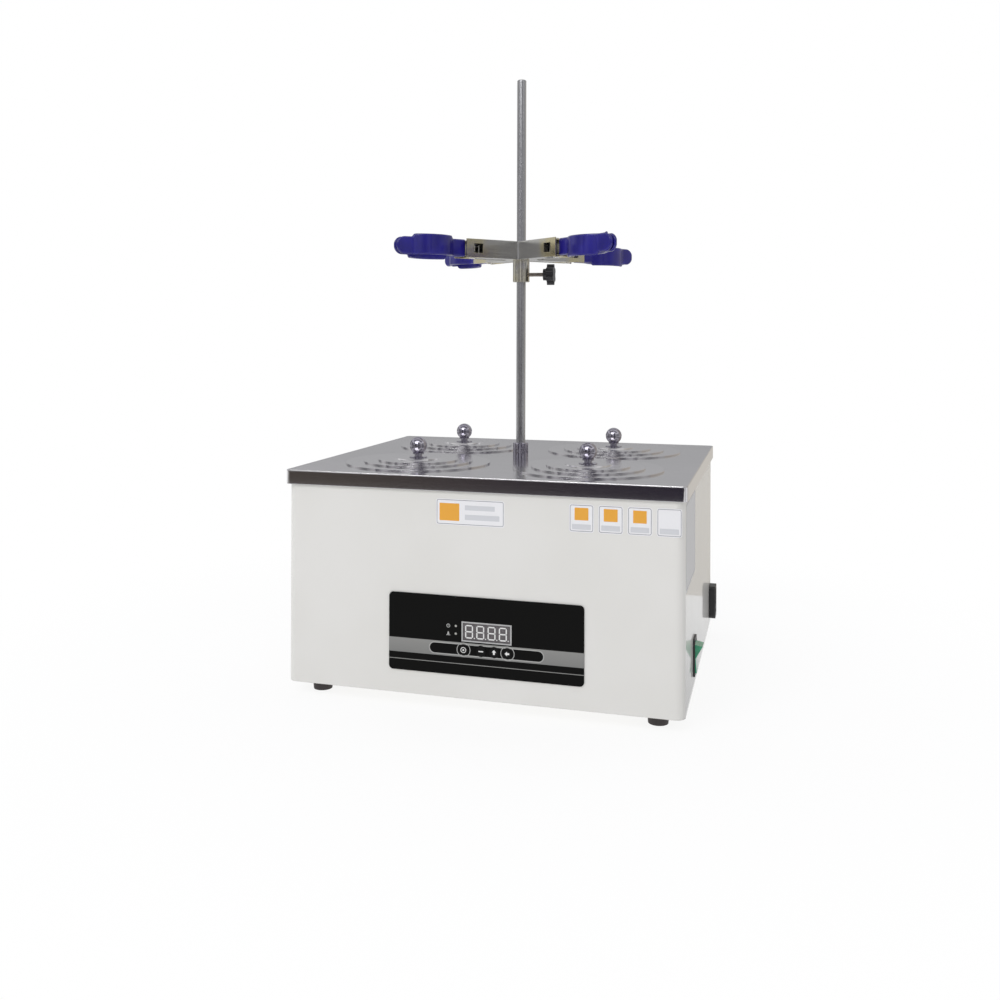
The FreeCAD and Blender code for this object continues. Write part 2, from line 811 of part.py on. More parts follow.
def spun_ring(radius, opening, lip_radius):
    """Gives the section of a ring: a flat rim on the piece below and a lip that drops into its opening."""
    return [
        (radius, 0),
        (radius, S.lid_rise),
        (opening, S.lid_rise),
        (opening, S.lid_rise - S.lid_sheet),
        (lip_radius - S.lid_sheet, S.lid_rise - S.lid_sheet),
        (lip_radius - S.lid_sheet, -S.lid_lip_depth),
        (lip_radius, -S.lid_lip_depth),
        (lip_radius, 0),
    ]


def spun_cap(radius, lip_radius):
    """Gives the section of the cap, which has a raised boss and a hole for the knob's stud."""
    return [
        (radius, 0),
        (radius, S.lid_rise),
        (S.cap_boss_radius, S.lid_rise),
        (S.cap_boss_radius - S.cap_boss_rise, S.lid_rise + S.cap_boss_rise),
        (S.knob_stud_radius + S.hole_gap, S.lid_rise + S.cap_boss_rise),
        (S.knob_stud_radius + S.hole_gap, S.lid_rise + S.cap_boss_rise - S.lid_sheet),
        (S.cap_boss_radius - S.lid_sheet, S.lid_rise - S.lid_sheet),
        (lip_radius - S.lid_sheet, S.lid_rise - S.lid_sheet),
        (lip_radius - S.lid_sheet, -S.lid_lip_depth),
        (lip_radius, -S.lid_lip_depth),
        (lip_radius, 0),
    ]


def make_knob(name):
    """Makes the turned chrome knob: flange, waist, bead and ball, with the stud that goes through the cap."""
    body = new_body(name)
    ball_middle = S.knob_height - S.knob_ball_radius
    bead_low = ball_middle - S.knob_ball_radius * 9 / 10 - S.knob_bead_height / 2
    turn(body, "stem", "Z", [
        (0, -S.knob_stud_length),
        (S.knob_stud_radius, -S.knob_stud_length),
        (S.knob_stud_radius, 0),
        (S.knob_flange_radius, 0),
        (S.knob_flange_radius, S.knob_flange_height / 2),
        (S.knob_neck_radius, S.knob_flange_height),
        (S.knob_neck_radius, bead_low),
        (S.knob_bead_radius, bead_low),
        (S.knob_bead_radius, bead_low + S.knob_bead_height),
        (S.knob_neck_radius, bead_low + S.knob_bead_height),
        (S.knob_neck_radius, ball_middle),
        (0, ball_middle),
    ])
    ball = body.newObject("PartDesign::AdditiveSphere", "ball")
    ball.Radius = float(S.knob_ball_radius)
    bind(ball, "Radius", S.knob_ball_radius)
    support = [feature for feature in body.Origin.OriginFeatures if feature.Role == "XY_Plane"]
    ball.AttachmentSupport = (support[0], [""])
    ball.MapMode = "FlatFace"
    bind(ball, ".AttachmentOffset.Base.z", ball_middle)
    return body


def make_lids():
    middle_level = S.cover_top + S.lid_rise
    cap_level = middle_level + S.lid_rise
    knob_level = cap_level + S.lid_rise + S.cap_boss_rise
    for name, (x, y) in PLACES.items():
        outer = new_body("outer_ring_body_" + name)
        turn(outer, "ring", "Z", spun_ring(S.outer_ring_radius, S.outer_ring_opening, S.hole_radius - S.lid_play))
        keep(outer, "outer_ring_" + name, x=x, y=y, z=S.cover_top)
        middle = new_body("middle_ring_body_" + name)
        turn(middle, "ring", "Z",
             spun_ring(S.middle_ring_radius, S.middle_ring_opening, S.outer_ring_opening - S.lid_play))
        keep(middle, "middle_ring_" + name, x=x, y=y, z=middle_level)
        cap = new_body("cap_body_" + name)
        turn(cap, "cap", "Z", spun_cap(S.cap_radius, S.middle_ring_opening - S.lid_play))
        keep(cap, "lid_cap_" + name, x=x, y=y, z=cap_level)
        keep(make_knob("knob_body_" + name), "lid_knob_" + name, x=x, y=y, z=knob_level)


# Tank with its insulation, shelf, heater, probe and thermostat

heater_level = S.tank_floor + S.heater_height
probe_level = S.tank_floor + S.probe_height
tank_left = -S.tank_length / 2
HEATER_END_SPOTS = [(side * 3 * S.heater_bend, heater_level) for side in (-1, 1)]


def make_tank():
    body = new_body("tank")
    outer_length = S.tank_length + 2 * S.tank_sheet
    outer_width = S.tank_width + 2 * S.tank_sheet
    pad(body, "block", "XY_Plane", S.tank_bottom, S.wall_top, rounded_box,
        0, 0, outer_length, outer_width, S.tank_corner + S.tank_sheet)
    rim = 2 * (S.case_wall + S.fit_gap)
    pad(body, "rim", "XY_Plane", S.wall_top, S.cover_under, rounded_box,
        0, 0, S.case_width - rim, S.case_depth - rim, S.case_corner - S.case_wall)
    pocket(body, "hollow", "XY_Plane", S.tank_floor, S.cover_under + S.overrun, rounded_box,
           0, 0, S.tank_length, S.tank_width, S.tank_corner)
    left_low, left_high = tank_left - S.tank_sheet - S.overrun, tank_left + S.overrun
    pocket(body, "heater_holes", "YZ_Plane", left_low, left_high, circles,
           HEATER_END_SPOTS, S.gland_radius + S.hole_gap)
    pocket(body, "probe_hole", "YZ_Plane", left_low, left_high, circle,
           -S.probe_y, probe_level, S.probe_thread_radius + S.hole_gap)
    wall = S.tank_width / 2
    pocket(body, "drain_hole", "XZ_Plane", wall - S.overrun, wall + S.tank_sheet + S.overrun, circle,
           S.drain_x, S.drain_level, S.drain_pipe_radius + S.hole_gap)
    keep(body, "inner_tank")


def make_insulation():
    body = new_body("insulation")
    inner_length = S.tank_length + 2 * (S.tank_sheet + S.fit_gap)
    inner_width = S.tank_width + 2 * (S.tank_sheet + S.fit_gap)
    thick = S.insulation_thickness
    low = S.tank_bottom - S.fit_gap
    top = S.wall_top - S.case_wall
    corner = S.tank_corner + S.tank_sheet + S.fit_gap
    pad(body, "blanket", "XY_Plane", low - thick, top, rounded_box,
        0, 0, inner_length + 2 * thick, inner_width + 2 * thick, corner + thick)
    pocket(body, "hollow", "XY_Plane", low, top + S.overrun, rounded_box, 0, 0, inner_length, inner_width, corner)
    left_low = tank_left - S.tank_sheet - S.fit_gap - thick - S.overrun
    left_high = tank_left + S.overrun
    pocket(body, "gland_holes", "YZ_Plane", left_low, left_high, circles,
           HEATER_END_SPOTS, S.gland_collar_radius + S.fit_gap)
    pocket(body, "probe_hole", "YZ_Plane", left_low, left_high, circle,
           -S.probe_y, probe_level, S.probe_collar_radius + S.fit_gap)
    wall = S.tank_width / 2
    far = wall + S.tank_sheet + S.fit_gap + thick + S.overrun
    pocket(body, "drain_hole", "XZ_Plane", wall, far, circle,
           S.drain_x, S.drain_level, S.drain_pipe_radius + S.fit_gap)
    pocket(body, "thermostat_hole", "XY_Plane", low - thick - S.overrun, low + S.overrun, circle,
           0, S.thermostat_y, S.thermostat_flange_radius + S.fit_gap)
    keep(body, "tank_insulation")


def make_shelf():
    body = new_body("shelf")
    width = S.tank_length - 2 * S.shelf_gap
    depth = S.tank_width - 2 * S.shelf_gap
    top = S.tank_floor + S.shelf_height
    under = top - S.shelf_sheet
    pad(body, "sheet", "XY_Plane", under, top, rounded_box, 0, 0, width, depth, S.shelf_corner)
    for name, side in (("front_leg", -1), ("rear_leg", 1)):
        middle = side * (depth / 2 - S.shelf_sheet / 2)
        pad(body, name, "XY_Plane", S.tank_floor, under, box_outline,
            0, middle, S.shelf_leg_length, S.shelf_sheet)
    holes = [
        (column * S.shelf_hole_pitch_x / 2, row * S.shelf_hole_pitch_y / 2)
        for column in (-4, -2, 0, 2, 4)
        for row in (-3, -1, 1, 3)
    ]
    pocket(body, "water_holes", "XY_Plane", under - S.overrun, top + S.overrun, circles,
           holes, S.shelf_hole_radius)
    keep(body, "flask_shelf")


def make_heater():
    """Bends one tube into three runs and two return bends, with both ends out through the left wall."""
    level = float(heater_level)
    bend = float(S.heater_bend)
    outside = float(tank_left - S.tank_sheet - S.gland_nut - S.heater_tail / 2)
    near = float(tank_left + S.heater_end_gap + S.heater_bend)
    far = float(S.tank_length / 2 - S.heater_end_gap - S.heater_bend)
    rows = [-3 * bend, -bend, bend, 3 * bend]

    def point(x, y):
        return FreeCAD.Vector(x, y, level)

    edges = [Part.LineSegment(point(outside, rows[0]), point(far, rows[0]))]
    edges.append(Part.Arc(point(far, rows[0]), point(far + bend, -2 * bend), point(far, rows[1])))
    edges.append(Part.LineSegment(point(far, rows[1]), point(near, rows[1])))
    edges.append(Part.Arc(point(near, rows[1]), point(near - bend, 0), point(near, rows[2])))
    edges.append(Part.LineSegment(point(near, rows[2]), point(far, rows[2])))
    edges.append(Part.Arc(point(far, rows[2]), point(far + bend, 2 * bend), point(far, rows[3])))
    edges.append(Part.LineSegment(point(far, rows[3]), point(outside, rows[3])))
    path = Part.Wire([edge.toShape() for edge in edges])
    section = Part.makeCircle(float(S.heater_radius), point(outside, rows[0]), FreeCAD.Vector(1, 0, 0))
    shaped("heater_element", path.makePipeShell([Part.Wire(section)], True, False))


def make_glands():
    """Makes the two sealed glands that carry the heater's ends through the tank wall."""
    glands = []
    outside = tank_left - S.tank_sheet
    for number, (y, z) in enumerate(HEATER_END_SPOTS):
        body = new_body("gland_" + str(number + 1))
        bore = S.heater_radius + S.hole_gap
        turn(body, "gland", "X", [
            (bore, outside - S.gland_nut),
            (S.gland_collar_radius, outside - S.gland_nut),
            (S.gland_collar_radius, outside),
            (S.gland_radius, outside),
            (S.gland_radius, tank_left),
            (S.gland_collar_radius, tank_left),
            (S.gland_collar_radius, tank_left + S.gland_collar),
            (bore, tank_left + S.gland_collar),
        ])
        bind(body, ".Placement.Base.y", y)
        bind(body, ".Placement.Base.z", z)
        glands.append(body)
    group("heater_glands", glands)


def make_probe():
    body = new_body("probe")
    outside = tank_left - S.tank_sheet
    turn(body, "probe", "X", [
        (0, outside - S.probe_head),
        (S.probe_collar_radius, outside - S.probe_head),
        (S.probe_collar_radius, outside),
        (S.probe_thread_radius, outside),
        (S.probe_thread_radius, tank_left),
        (S.probe_collar_radius, tank_left),
        (S.probe_collar_radius, tank_left + S.probe_collar),
        (S.probe_radius, tank_left + S.probe_collar),
        (S.probe_radius, tank_left + S.probe_reach),
        (0, tank_left + S.probe_reach + S.probe_radius),
    ])
    keep(body, "temperature_probe", y=-S.probe_y, z=probe_level)


def make_thermostat():
    body = new_body("thermostat")
    low = S.tank_bottom - S.thermostat_height
    turn(body, "capsule", "Z", [
        (0, low),
        (S.thermostat_radius, low),
        (S.thermostat_radius, S.tank_bottom - S.thermostat_flange),
        (S.thermostat_flange_radius, S.tank_bottom - S.thermostat_flange),
        (S.thermostat_flange_radius, S.tank_bottom),
        (0, S.tank_bottom),
    ])
    pad(body, "blades", "XY_Plane", low - S.thermostat_blade_length, low, box_outlines,
        [(side * S.thermostat_blade_spacing / 2, 0) for side in (-1, 1)],
        S.thermostat_blade_sheet, S.thermostat_blade_width)
    keep(body, "safety_thermostat", y=S.thermostat_y)


# Rod, socket and drain

def make_socket():
    body = new_body("socket")
    top = S.cover_top + S.socket_height
    bottom = S.cover_top - S.socket_spigot_length
    bore = S.rod_radius + S.rod_play
    turn(body, "socket", "Z", [
        (0, bottom),
        (S.socket_spigot_radius, bottom),
        (S.socket_spigot_radius, S.cover_top),
        (S.socket_radius, S.cover_top),
        (S.socket_radius, top - S.socket_chamfer),
        (S.socket_radius - S.socket_chamfer, top),
        (bore, top),
        (bore, S.rod_bottom),
        (0, S.rod_bottom),
    ])
    keep(body, "rod_socket")


def make_socket_nut():
    body = new_body("nut")
    low = S.cover_under - S.socket_nut_height
    pad(body, "hexagon", "XY_Plane", low, S.cover_under, hexagon, 0, 0, S.socket_nut_flats)
    pocket(body, "thread", "XY_Plane", low - S.overrun, S.cover_under + S.overrun, circle,
           0, 0, S.socket_spigot_radius + S.hole_gap)
    keep(body, "socket_nut")


def make_rod():
    body = new_body("rod")
    turn(body, "rod", "Z", [
        (0, S.rod_bottom),
        (S.rod_radius, S.rod_bottom),
        (S.rod_radius, S.rod_top - S.rod_chamfer),
        (S.rod_radius - S.rod_chamfer, S.rod_top),
        (0, S.rod_top),
    ])
    keep(body, "support_rod")


def make_drain_valve():
    """Makes the brass valve: pipe out of the tank, ball chamber, bonnet and hose barb, with one bore."""
    body = new_body("valve")
    inside = S.tank_width / 2
    seat = S.rear_face
    chamber = seat + S.drain_collar
    barb = chamber + S.drain_chamber_length
    cut = S.drain_chamber_radius / 5
    profile = [
        (S.drain_bore_radius, inside),
        (S.drain_pipe_radius, inside),
        (S.drain_pipe_radius, seat),
        (S.drain_collar_radius, seat),
        (S.drain_collar_radius, chamber),
        (S.drain_chamber_radius, chamber + cut),
        (S.drain_chamber_radius, barb - cut),
        (S.drain_barb_root, barb),
    ]
    for ridge in range(3):
        foot = barb + ridge * S.drain_barb_pitch
        profile.append((S.drain_barb_radius, foot + S.drain_barb_pitch / 4))
        profile.append((S.drain_barb_root, foot + S.drain_barb_pitch))
    profile.append((S.drain_bore_radius, S.drain_end_y))
    turn(body, "barrel", "Y", profile)
    pad(body, "bonnet", "XY_Plane", 0, S.drain_bonnet_height, circle, 0, S.drain_centre_y, S.drain_bonnet_radius)
    chamber_ball = body.newObject("PartDesign::SubtractiveSphere", "chamber")
    bind(chamber_ball, "Radius", S.drain_ball_radius + S.fit_gap)
    support = [feature for feature in body.Origin.OriginFeatures if feature.Role == "XY_Plane"]
    chamber_ball.AttachmentSupport = (support[0], [""])
    chamber_ball.MapMode = "FlatFace"
    bind(chamber_ball, ".AttachmentOffset.Base.y", S.drain_centre_y)
    pocket(body, "stem_hole", "XY_Plane", 0, S.drain_bonnet_height + S.overrun, circle,
           0, S.drain_centre_y, S.drain_stem_radius + S.hole_gap)
    keep(body, "drain_valve_body", x=S.drain_x, z=S.drain_level)


def make_drain_lever():
    """Makes the lever with its stem and drilled ball, shown shut: the lever lies across the pipe."""
    body = new_body("lever")
    ball = body.newObject("PartDesign::AdditiveSphere", "ball")
    bind(ball, "Radius", S.drain_ball_radius)
    plate_low = S.drain_bonnet_height + S.fit_gap
    plate_high = plate_low + S.lever_sheet
    pad(body, "stem", "XY_Plane", 0, plate_high + S.drain_stem_rise, circle, 0, 0, S.drain_stem_radius)
    pad(body, "plate", "XY_Plane", plate_low, plate_high, rounded_box,
        S.lever_length / 2 - S.lever_width / 2, 0, S.lever_length, S.lever_width, S.lever_width * 2 / 5)
    reach = S.drain_ball_radius + S.overrun
    pocket(body, "way_through", "YZ_Plane", -reach, reach, circle, 0, 0, S.drain_bore_radius)
    keep(body, "drain_lever", x=S.drain_x, y=S.drain_centre_y, z=S.drain_level)


# Front panel, display, keys and controller board

KEY_SPOTS = [(getattr(S, "key_" + str(number) + "_x"), S.key_level) for number in range(1, KEY_COUNT + 1)]
LIGHT_SPOTS = [(S.light_x, S.case_bottom + S.light_upper_z), (S.light_x, S.case_bottom + S.light_lower_z)]
panel_front = S.front_face - S.panel_sheet


def make_control_panel():
    body = new_body("panel")
    pad(body, "sheet", "XZ_Plane", panel_front, S.front_face, rounded_box,
        S.panel_x, S.panel_level, S.panel_width, S.panel_height, S.panel_corner)
    low, high = panel_front - S.overrun, S.front_face + S.overrun
    pocket(body, "window", "XZ_Plane", low, high, box_outline,
           S.window_x, S.window_level, S.window_width, S.window_height)
    pocket(body, "key_holes", "XZ_Plane", low, high, circles, KEY_SPOTS, S.key_radius + S.fit_gap)
    pocket(body, "light_holes", "XZ_Plane", low, high, circles, LIGHT_SPOTS, S.light_radius + S.hole_gap)
    keep(body, "control_panel")


def make_display():
    """Makes the digit block with its raised frame, and the two signal lights beside it, on the board."""
    module = new_body("digits")
    width = S.window_width - 2 * S.hole_gap
    height = S.window_height - 2 * S.hole_gap
    pad(module, "block", "XZ_Plane", panel_front, S.board_front, box_outline,
        S.window_x, S.window_level, width, height)
    pocket(module, "face", "XZ_Plane", panel_front - S.overrun, panel_front + S.display_recess, box_outline,
           S.window_x, S.window_level, width - 2 * S.display_frame, height - 2 * S.display_frame)
    members = [module]
    for number, (x, z) in enumerate(LIGHT_SPOTS):
        light = new_body("light_" + str(number + 1))
        turn(light, "light", "Y", [
            (0, panel_front),
            (S.light_radius * 2 / 3, panel_front),
            (S.light_radius, panel_front + S.light_radius / 2),
            (S.light_radius, S.board_front),
            (0, S.board_front),
        ])
        bind(light, ".Placement.Base.x", x)
        bind(light, ".Placement.Base.z", z)
        members.append(light)
    group("display_module", members)


def make_keys():
    for number, (x, z) in enumerate(KEY_SPOTS):
        body = new_body("key_body_" + str(number + 1))
        face = panel_front - S.key_proud
        flange = S.front_face + S.hole_gap
        stem_end = S.board_front - S.board_switch_height - S.key_travel - S.hole_gap
        turn(body, "key", "Y", [
            (0, face),
            (S.key_radius - S.key_proud / 2, face),
            (S.key_radius, face + S.key_proud / 2),
            (S.key_radius, flange),
            (S.key_flange_radius, flange),
            (S.key_flange_radius, flange + S.key_flange),
            (S.key_stem_radius, flange + S.key_flange),
            (S.key_stem_radius, stem_end),
            (0, stem_end),
        ])
        keep(body, "key_" + str(number + 1), x=x, z=z)


def make_control_board():
    body = new_body("board")
    back = S.board_front + S.board_sheet
    middle = S.case_bottom + S.board_z - S.panel_corner * 2
    pad(body, "board", "XZ_Plane", S.board_front, back, box_outline,
        S.panel_x, middle, S.board_width, S.board_height)
    corners = [
        (
            S.panel_x + side * (S.board_width / 2 - S.board_standoff_inset),
            middle + up * (S.board_height / 2 - S.board_standoff_inset),
        )
        for side in (-1, 1)
        for up in (-1, 1)
    ]
    pad(body, "standoffs", "XZ_Plane", S.front_face + S.case_wall, S.board_front, circles,
        corners, S.board_standoff_radius)
    pad(body, "key_switches", "XZ_Plane", S.board_front - S.board_switch_height, S.board_front, box_outlines,
        KEY_SPOTS, S.board_switch, S.board_switch)
    pad(body, "transformer", "XZ_Plane", back, back + S.transformer_depth, box_outline,
        S.transformer_x, middle - S.board_height / 2 + S.transformer_height / 2,
        S.transformer_width, S.transformer_height)
    keep(body, "control_board")


def make_relay():
    body = new_body("relay")
    top = S.base_top + S.relay_height
    pad(body, "base", "XY_Plane", S.base_top, S.base_top + S.relay_base, box_outline,
        0, 0, S.relay_width, S.relay_length)
    pad(body, "cover", "XY_Plane", S.base_top + S.relay_base, top, box_outline,
        0, 0, S.relay_width - 2 * S.case_wall, S.relay_length - 2 * S.case_wall)
    ledges = [
        (side_x * S.relay_width / 4, side_y * (S.relay_length / 2 - S.relay_ledge / 2))
        for side_x in (-1, 1)
        for side_y in (-1, 1)
    ]
    pocket(body, "terminal_ledges", "XY_Plane", top - S.relay_ledge_drop, top + S.overrun, box_outlines,
           ledges, S.relay_width / 3, S.relay_ledge)
    keep(body, "solid_state_relay", x=S.relay_x, y=S.relay_y)


def make_terminals():
    body = new_body("terminals")
    top = S.base_top + S.terminals_height
    steps = [step * S.terminals_pitch for step in (-2, -1, 0, 1, 2)]
    length = 5 * S.terminals_pitch + S.terminals_wall
    pad(body, "block", "XY_Plane", S.base_top, top, box_outline, 0, 0, S.terminals_width, length)
    pocket(body, "wire_pockets", "XY_Plane", top - S.terminals_pocket, top + S.overrun, box_outlines,
           [(0, step) for step in steps], S.terminals_width - 2 * S.terminals_wall,
           S.terminals_pitch - S.terminals_wall)
    keep(body, "terminal_block", x=S.terminals_x, y=S.terminals_y)


# Rocker switch and mains inlet in the right wall

def make_switch_frame():
    body = new_body("switch")
    front = S.right_face + S.switch_bezel
    body_width = S.switch_width - 2 * S.switch_rim
    body_height = S.switch_height - 2 * S.switch_rim
    pad(body, "bezel", "YZ_Plane", S.right_face, front, rounded_box,
        0, 0, S.switch_width, S.switch_height, S.switch_corner)
    pad(body, "housing", "YZ_Plane", S.right_face - S.switch_body_depth, S.right_face, box_outline,
        0, 0, body_width, body_height)
    pocket(body, "cavity", "YZ_Plane", S.right_face - S.switch_cavity_depth, front + S.overrun, box_outline,
           0, 0, S.cavity_width, S.cavity_height)
    pocket(body, "pivot_holes", "XZ_Plane", -S.cavity_width / 2 - S.rocker_pin_length - S.hole_gap,
           S.cavity_width / 2 + S.rocker_pin_length + S.hole_gap, circle,
           S.right_face - S.rocker_pivot_depth, 0, S.rocker_pin_radius + S.hole_gap / 2)
    keep(body, "switch_frame", y=S.switch_y, z=S.switch_level)


def make_rocker():
    """Makes the rocker about its pivot in its middle position, then tips its top edge out."""
    body = new_body("rocker")
    half = S.rocker_half_height
    half_width = S.cavity_width / 2 - S.fit_gap
    pad(body, "rocker", "XZ_Plane", -half_width, half_width, polygon, [
        (S.rocker_edge_reach, half),
        (S.rocker_middle_reach, 0),
        (S.rocker_edge_reach, -half),
        (0, -half),
        (-S.rocker_back_reach, -half / 3),
        (-S.rocker_back_reach, half / 3),
        (0, half),
    ])
    pin_end = S.cavity_width / 2 + S.rocker_pin_length
    pad(body, "pivot_pin", "XZ_Plane", -pin_end, pin_end, circle, 0, 0, S.rocker_pin_radius)
    tilt = FreeCAD.Rotation(FreeCAD.Vector(0, 1, 0), ROCKER_TILT_DEGREES)
    keep(body, "power_rocker", x=S.right_face - S.rocker_pivot_depth, y=S.switch_y, z=S.switch_level,
         rotation=tilt)


def make_inlet():
    """Makes the appliance inlet: hood, body, shaped socket with three pins and the fuse drawer's outline."""
    body = new_body("inlet")
    front = S.right_face + S.inlet_proud
    floor = front - S.inlet_socket_depth
    pad(body, "hood", "YZ_Plane", S.right_face, front, rounded_box,
        0, 0, S.inlet_width, S.inlet_height, S.inlet_corner)
    pad(body, "housing", "YZ_Plane", S.right_face - S.inlet_body_depth, S.right_face, box_outline,
        0, 0, S.inlet_body_width, S.inlet_body_height)
    half_width = S.inlet_socket_width / 2
    half_height = S.inlet_socket_height / 2
    lift = S.inlet_socket_lift
    corner = S.inlet_socket_corner
    pocket(body, "socket", "YZ_Plane", floor, front + S.overrun, polygon, [
        (-half_width, lift - half_height),
        (half_width - corner, lift - half_height),
        (half_width, lift - half_height + corner),
        (half_width, lift + half_height - corner),
        (half_width - corner, lift + half_height),
        (-half_width, lift + half_height),
    ])
    pins = [
        (S.inlet_pin_step / 2, lift),
        (-S.inlet_pin_step / 2, lift + S.inlet_pin_spread),
        (-S.inlet_pin_step / 2, lift - S.inlet_pin_spread),
    ]
    pad(body, "pins", "YZ_Plane", floor, floor + S.inlet_pin_length, box_outlines,
        pins, S.inlet_pin_height, S.inlet_pin_width)
    drawer_middle = lift - half_height - S.fuse_height / 2 - S.fuse_groove * 2
    pocket(body, "fuse_drawer", "YZ_Plane", front - S.fuse_groove, front + S.overrun, box_outline,
           0, drawer_middle, S.fuse_width, S.fuse_height)
    keep(body, "mains_inlet", y=S.inlet_y, z=S.inlet_level)


# Clamp head: hub, bent brackets, pins, springs, jaws and thumbscrew

def head_turn(extra=0):
    """Gives the clamp head's turn about the rod, with the quarter turns of one arm added."""
    return FreeCAD.Rotation(FreeCAD.Vector(0, 0, 1), ARM_ANGLE_DEGREES + extra)


def pivot_spot(number):
    """Gives where one arm's pin stands, from the rod's axis."""
    angle = math.radians(ARM_ANGLE_DEGREES + number * FULL_TURN / 4)
    return S.pivot_reach * math.cos(angle), S.pivot_reach * math.sin(angle)


def make_hub():
    """Makes the sliding tube with the two cross-shaped webs that are welded to it."""
    body = new_body("hub")
    bottom = S.case_bottom + S.head_height
    pad(body, "tube", "XY_Plane", bottom, S.arm_top, circle, 0, 0, S.hub_radius)
    near, far = S.arm_half_gap, S.web_reach
    cross = [
        (far, -near), (far, near), (near, near), (near, far), (-near, far), (-near, near),
        (-far, near), (-far, -near), (-near, -near), (-near, -far), (near, -far), (near, -near),
    ]
    lower = S.arm_bottom + S.web_inset
    upper = S.arm_top - S.web_inset - S.web_sheet
    pad(body, "lower_web", "XY_Plane", lower, lower + S.web_sheet, polygon, cross)
    pad(body, "upper_web", "XY_Plane", upper, upper + S.web_sheet, polygon, cross)
    pocket(body, "bore", "XY_Plane", bottom - S.overrun, S.arm_top + S.overrun, circle,
           0, 0, S.rod_radius + S.rod_play)
    reach = S.pivot_reach
    pins = [(reach, 0), (0, reach), (-reach, 0), (0, -reach)]
    pocket(body, "pin_holes", "XY_Plane", bottom, S.arm_top + S.overrun, circles,
           pins, S.pivot_radius + S.hole_gap / 2)
    screw_level = bottom + S.thumbscrew_drop / 2
    hole = pocket(body, "screw_hole", "YZ_Plane", -(S.hub_radius + S.overrun), 0, circle,
                  0, screw_level, S.thumbscrew_radius + S.hole_gap / 2)
    across = FreeCAD.Rotation(FreeCAD.Vector(0, 1, 0), FULL_TURN * 5 / 8)
    hole.Profile[0].AttachmentOffset = FreeCAD.Placement(FreeCAD.Vector(), across)
    keep(body, "clamp_hub", rotation=head_turn())


def make_brackets():
    """Makes the four strips, each bent square so that its two legs side two neighbouring arms."""
    strips = []
    inner, outer, reach = S.arm_half_gap, S.arm_half_gap + S.arm_sheet, S.arm_reach
    for number in range(4):
        body = new_body("strip_" + str(number + 1))
        pad(body, "strip", "XY_Plane", S.arm_bottom, S.arm_top, polygon, [
            (inner, inner), (reach, inner), (reach, outer), (outer, outer), (outer, reach), (inner, reach),
        ])
        touch = float(S.hole_gap)
        inside, outside = float(inner), float(outer)
        round_edges(body, "inner_bend", S.arm_bend,
                    lambda edge: is_upright(edge, outside, outside, touch))
        round_edges(body, "outer_bend", S.arm_bend + S.arm_sheet,
                    lambda edge: is_upright(edge, inside, inside, touch))
        window_middle = S.pivot_reach
        pocket(body, "window_along", "XZ_Plane", inner - S.overrun, outer + S.overrun, box_outline,
               window_middle, S.arm_middle, S.arm_window_length, S.arm_window_height)
        pocket(body, "window_across", "YZ_Plane", inner - S.overrun, outer + S.overrun, box_outline,
               window_middle, S.arm_middle, S.arm_window_length, S.arm_window_height)
        body.Placement = FreeCAD.Placement(FreeCAD.Vector(), head_turn(number * FULL_TURN / 4))
        strips.append(body)
    group("clamp_brackets", strips)


def is_upright(edge, x, y, touch):
    """Tells whether an edge stands upright at one spot of the plan."""
    middle = edge.BoundBox.Center
    return edge.BoundBox.ZLength > touch and abs(middle.x - x) < touch and abs(middle.y - y) < touch


def make_pins():
    pins = []
    low = S.arm_bottom + S.web_inset
    high = S.arm_top - S.web_inset
    for number in range(4):
        body = new_body("pin_" + str(number + 1))
        turn(body, "pin", "Z", [
            (0, low - S.pivot_head),
            (S.pivot_head_radius, low - S.pivot_head),
            (S.pivot_head_radius, low),
            (S.pivot_radius, low),
            (S.pivot_radius, high),
            (S.pivot_head_radius, high),
            (S.pivot_head_radius, high + S.pivot_head),
            (0, high + S.pivot_head),
        ])
        x, y = pivot_spot(number)
        bind(body, ".Placement.Base.x", x)
        bind(body, ".Placement.Base.y", y)
        pins.append(body)
    group("jaw_pins", pins)


def biarc(first, first_way, last, last_way):
    """Gives the two arcs that join two points, each leaving or reaching its point along the given way."""
    span = last - first
    both = first_way + last_way
    spare = 1 - first_way.dot(last_way)
    reach = (math.sqrt(span.dot(both) ** 2 + 2 * spare * span.dot(span)) - span.dot(both)) / (2 * spare)
    first_knee = first + first_way * reach
    last_knee = last - last_way * reach
    joint = (first_knee + last_knee) * 0.5
    return [arc_by_knee(first, first_knee, joint), arc_by_knee(joint, last_knee, last)]


def arc_by_knee(start, knee, end):
    """Gives the arc between two points whose end tangents meet at the knee."""
    middle = (start + end) * 0.5
    chord = (end - start).Length
    rise = (knee - middle).Length
    sagitta = chord / 2 * math.tan(math.atan2(rise, chord / 2) / 2)
    return Part.Arc(start, middle + (knee - middle) * (sagitta / rise), end).toShape()


def spring_path():
    """Gives one torsion spring's path about its pin: a tail, rising turns and a second tail."""
    radius = float(S.spring_coil_radius)
    pitch = float(S.spring_pitch)
    halves = SPRING_TURNS * 2 + 1
    start_level = -pitch * halves / 4

    def helix(half):
        angle = (half - 0.5) * math.pi
        level = start_level + pitch * half / 2
        return FreeCAD.Vector(radius * math.cos(angle), radius * math.sin(angle), level)

    def way(half):
        angle = (half - 0.5) * math.pi
        climb = pitch / FULL_TURN * math.degrees(1)
        return FreeCAD.Vector(-radius * math.sin(angle), radius * math.cos(angle), climb).normalize()

    tail = float(S.spring_tail)
    edges = [Part.LineSegment(helix(0) - way(0) * tail, helix(0)).toShape()]
    for half in range(halves):
        edges.extend(biarc(helix(half), way(half), helix(half + 1), way(half + 1)))
    end = helix(halves)
    edges.append(Part.LineSegment(end, end + way(halves) * tail).toShape())
    return Part.Wire(edges)


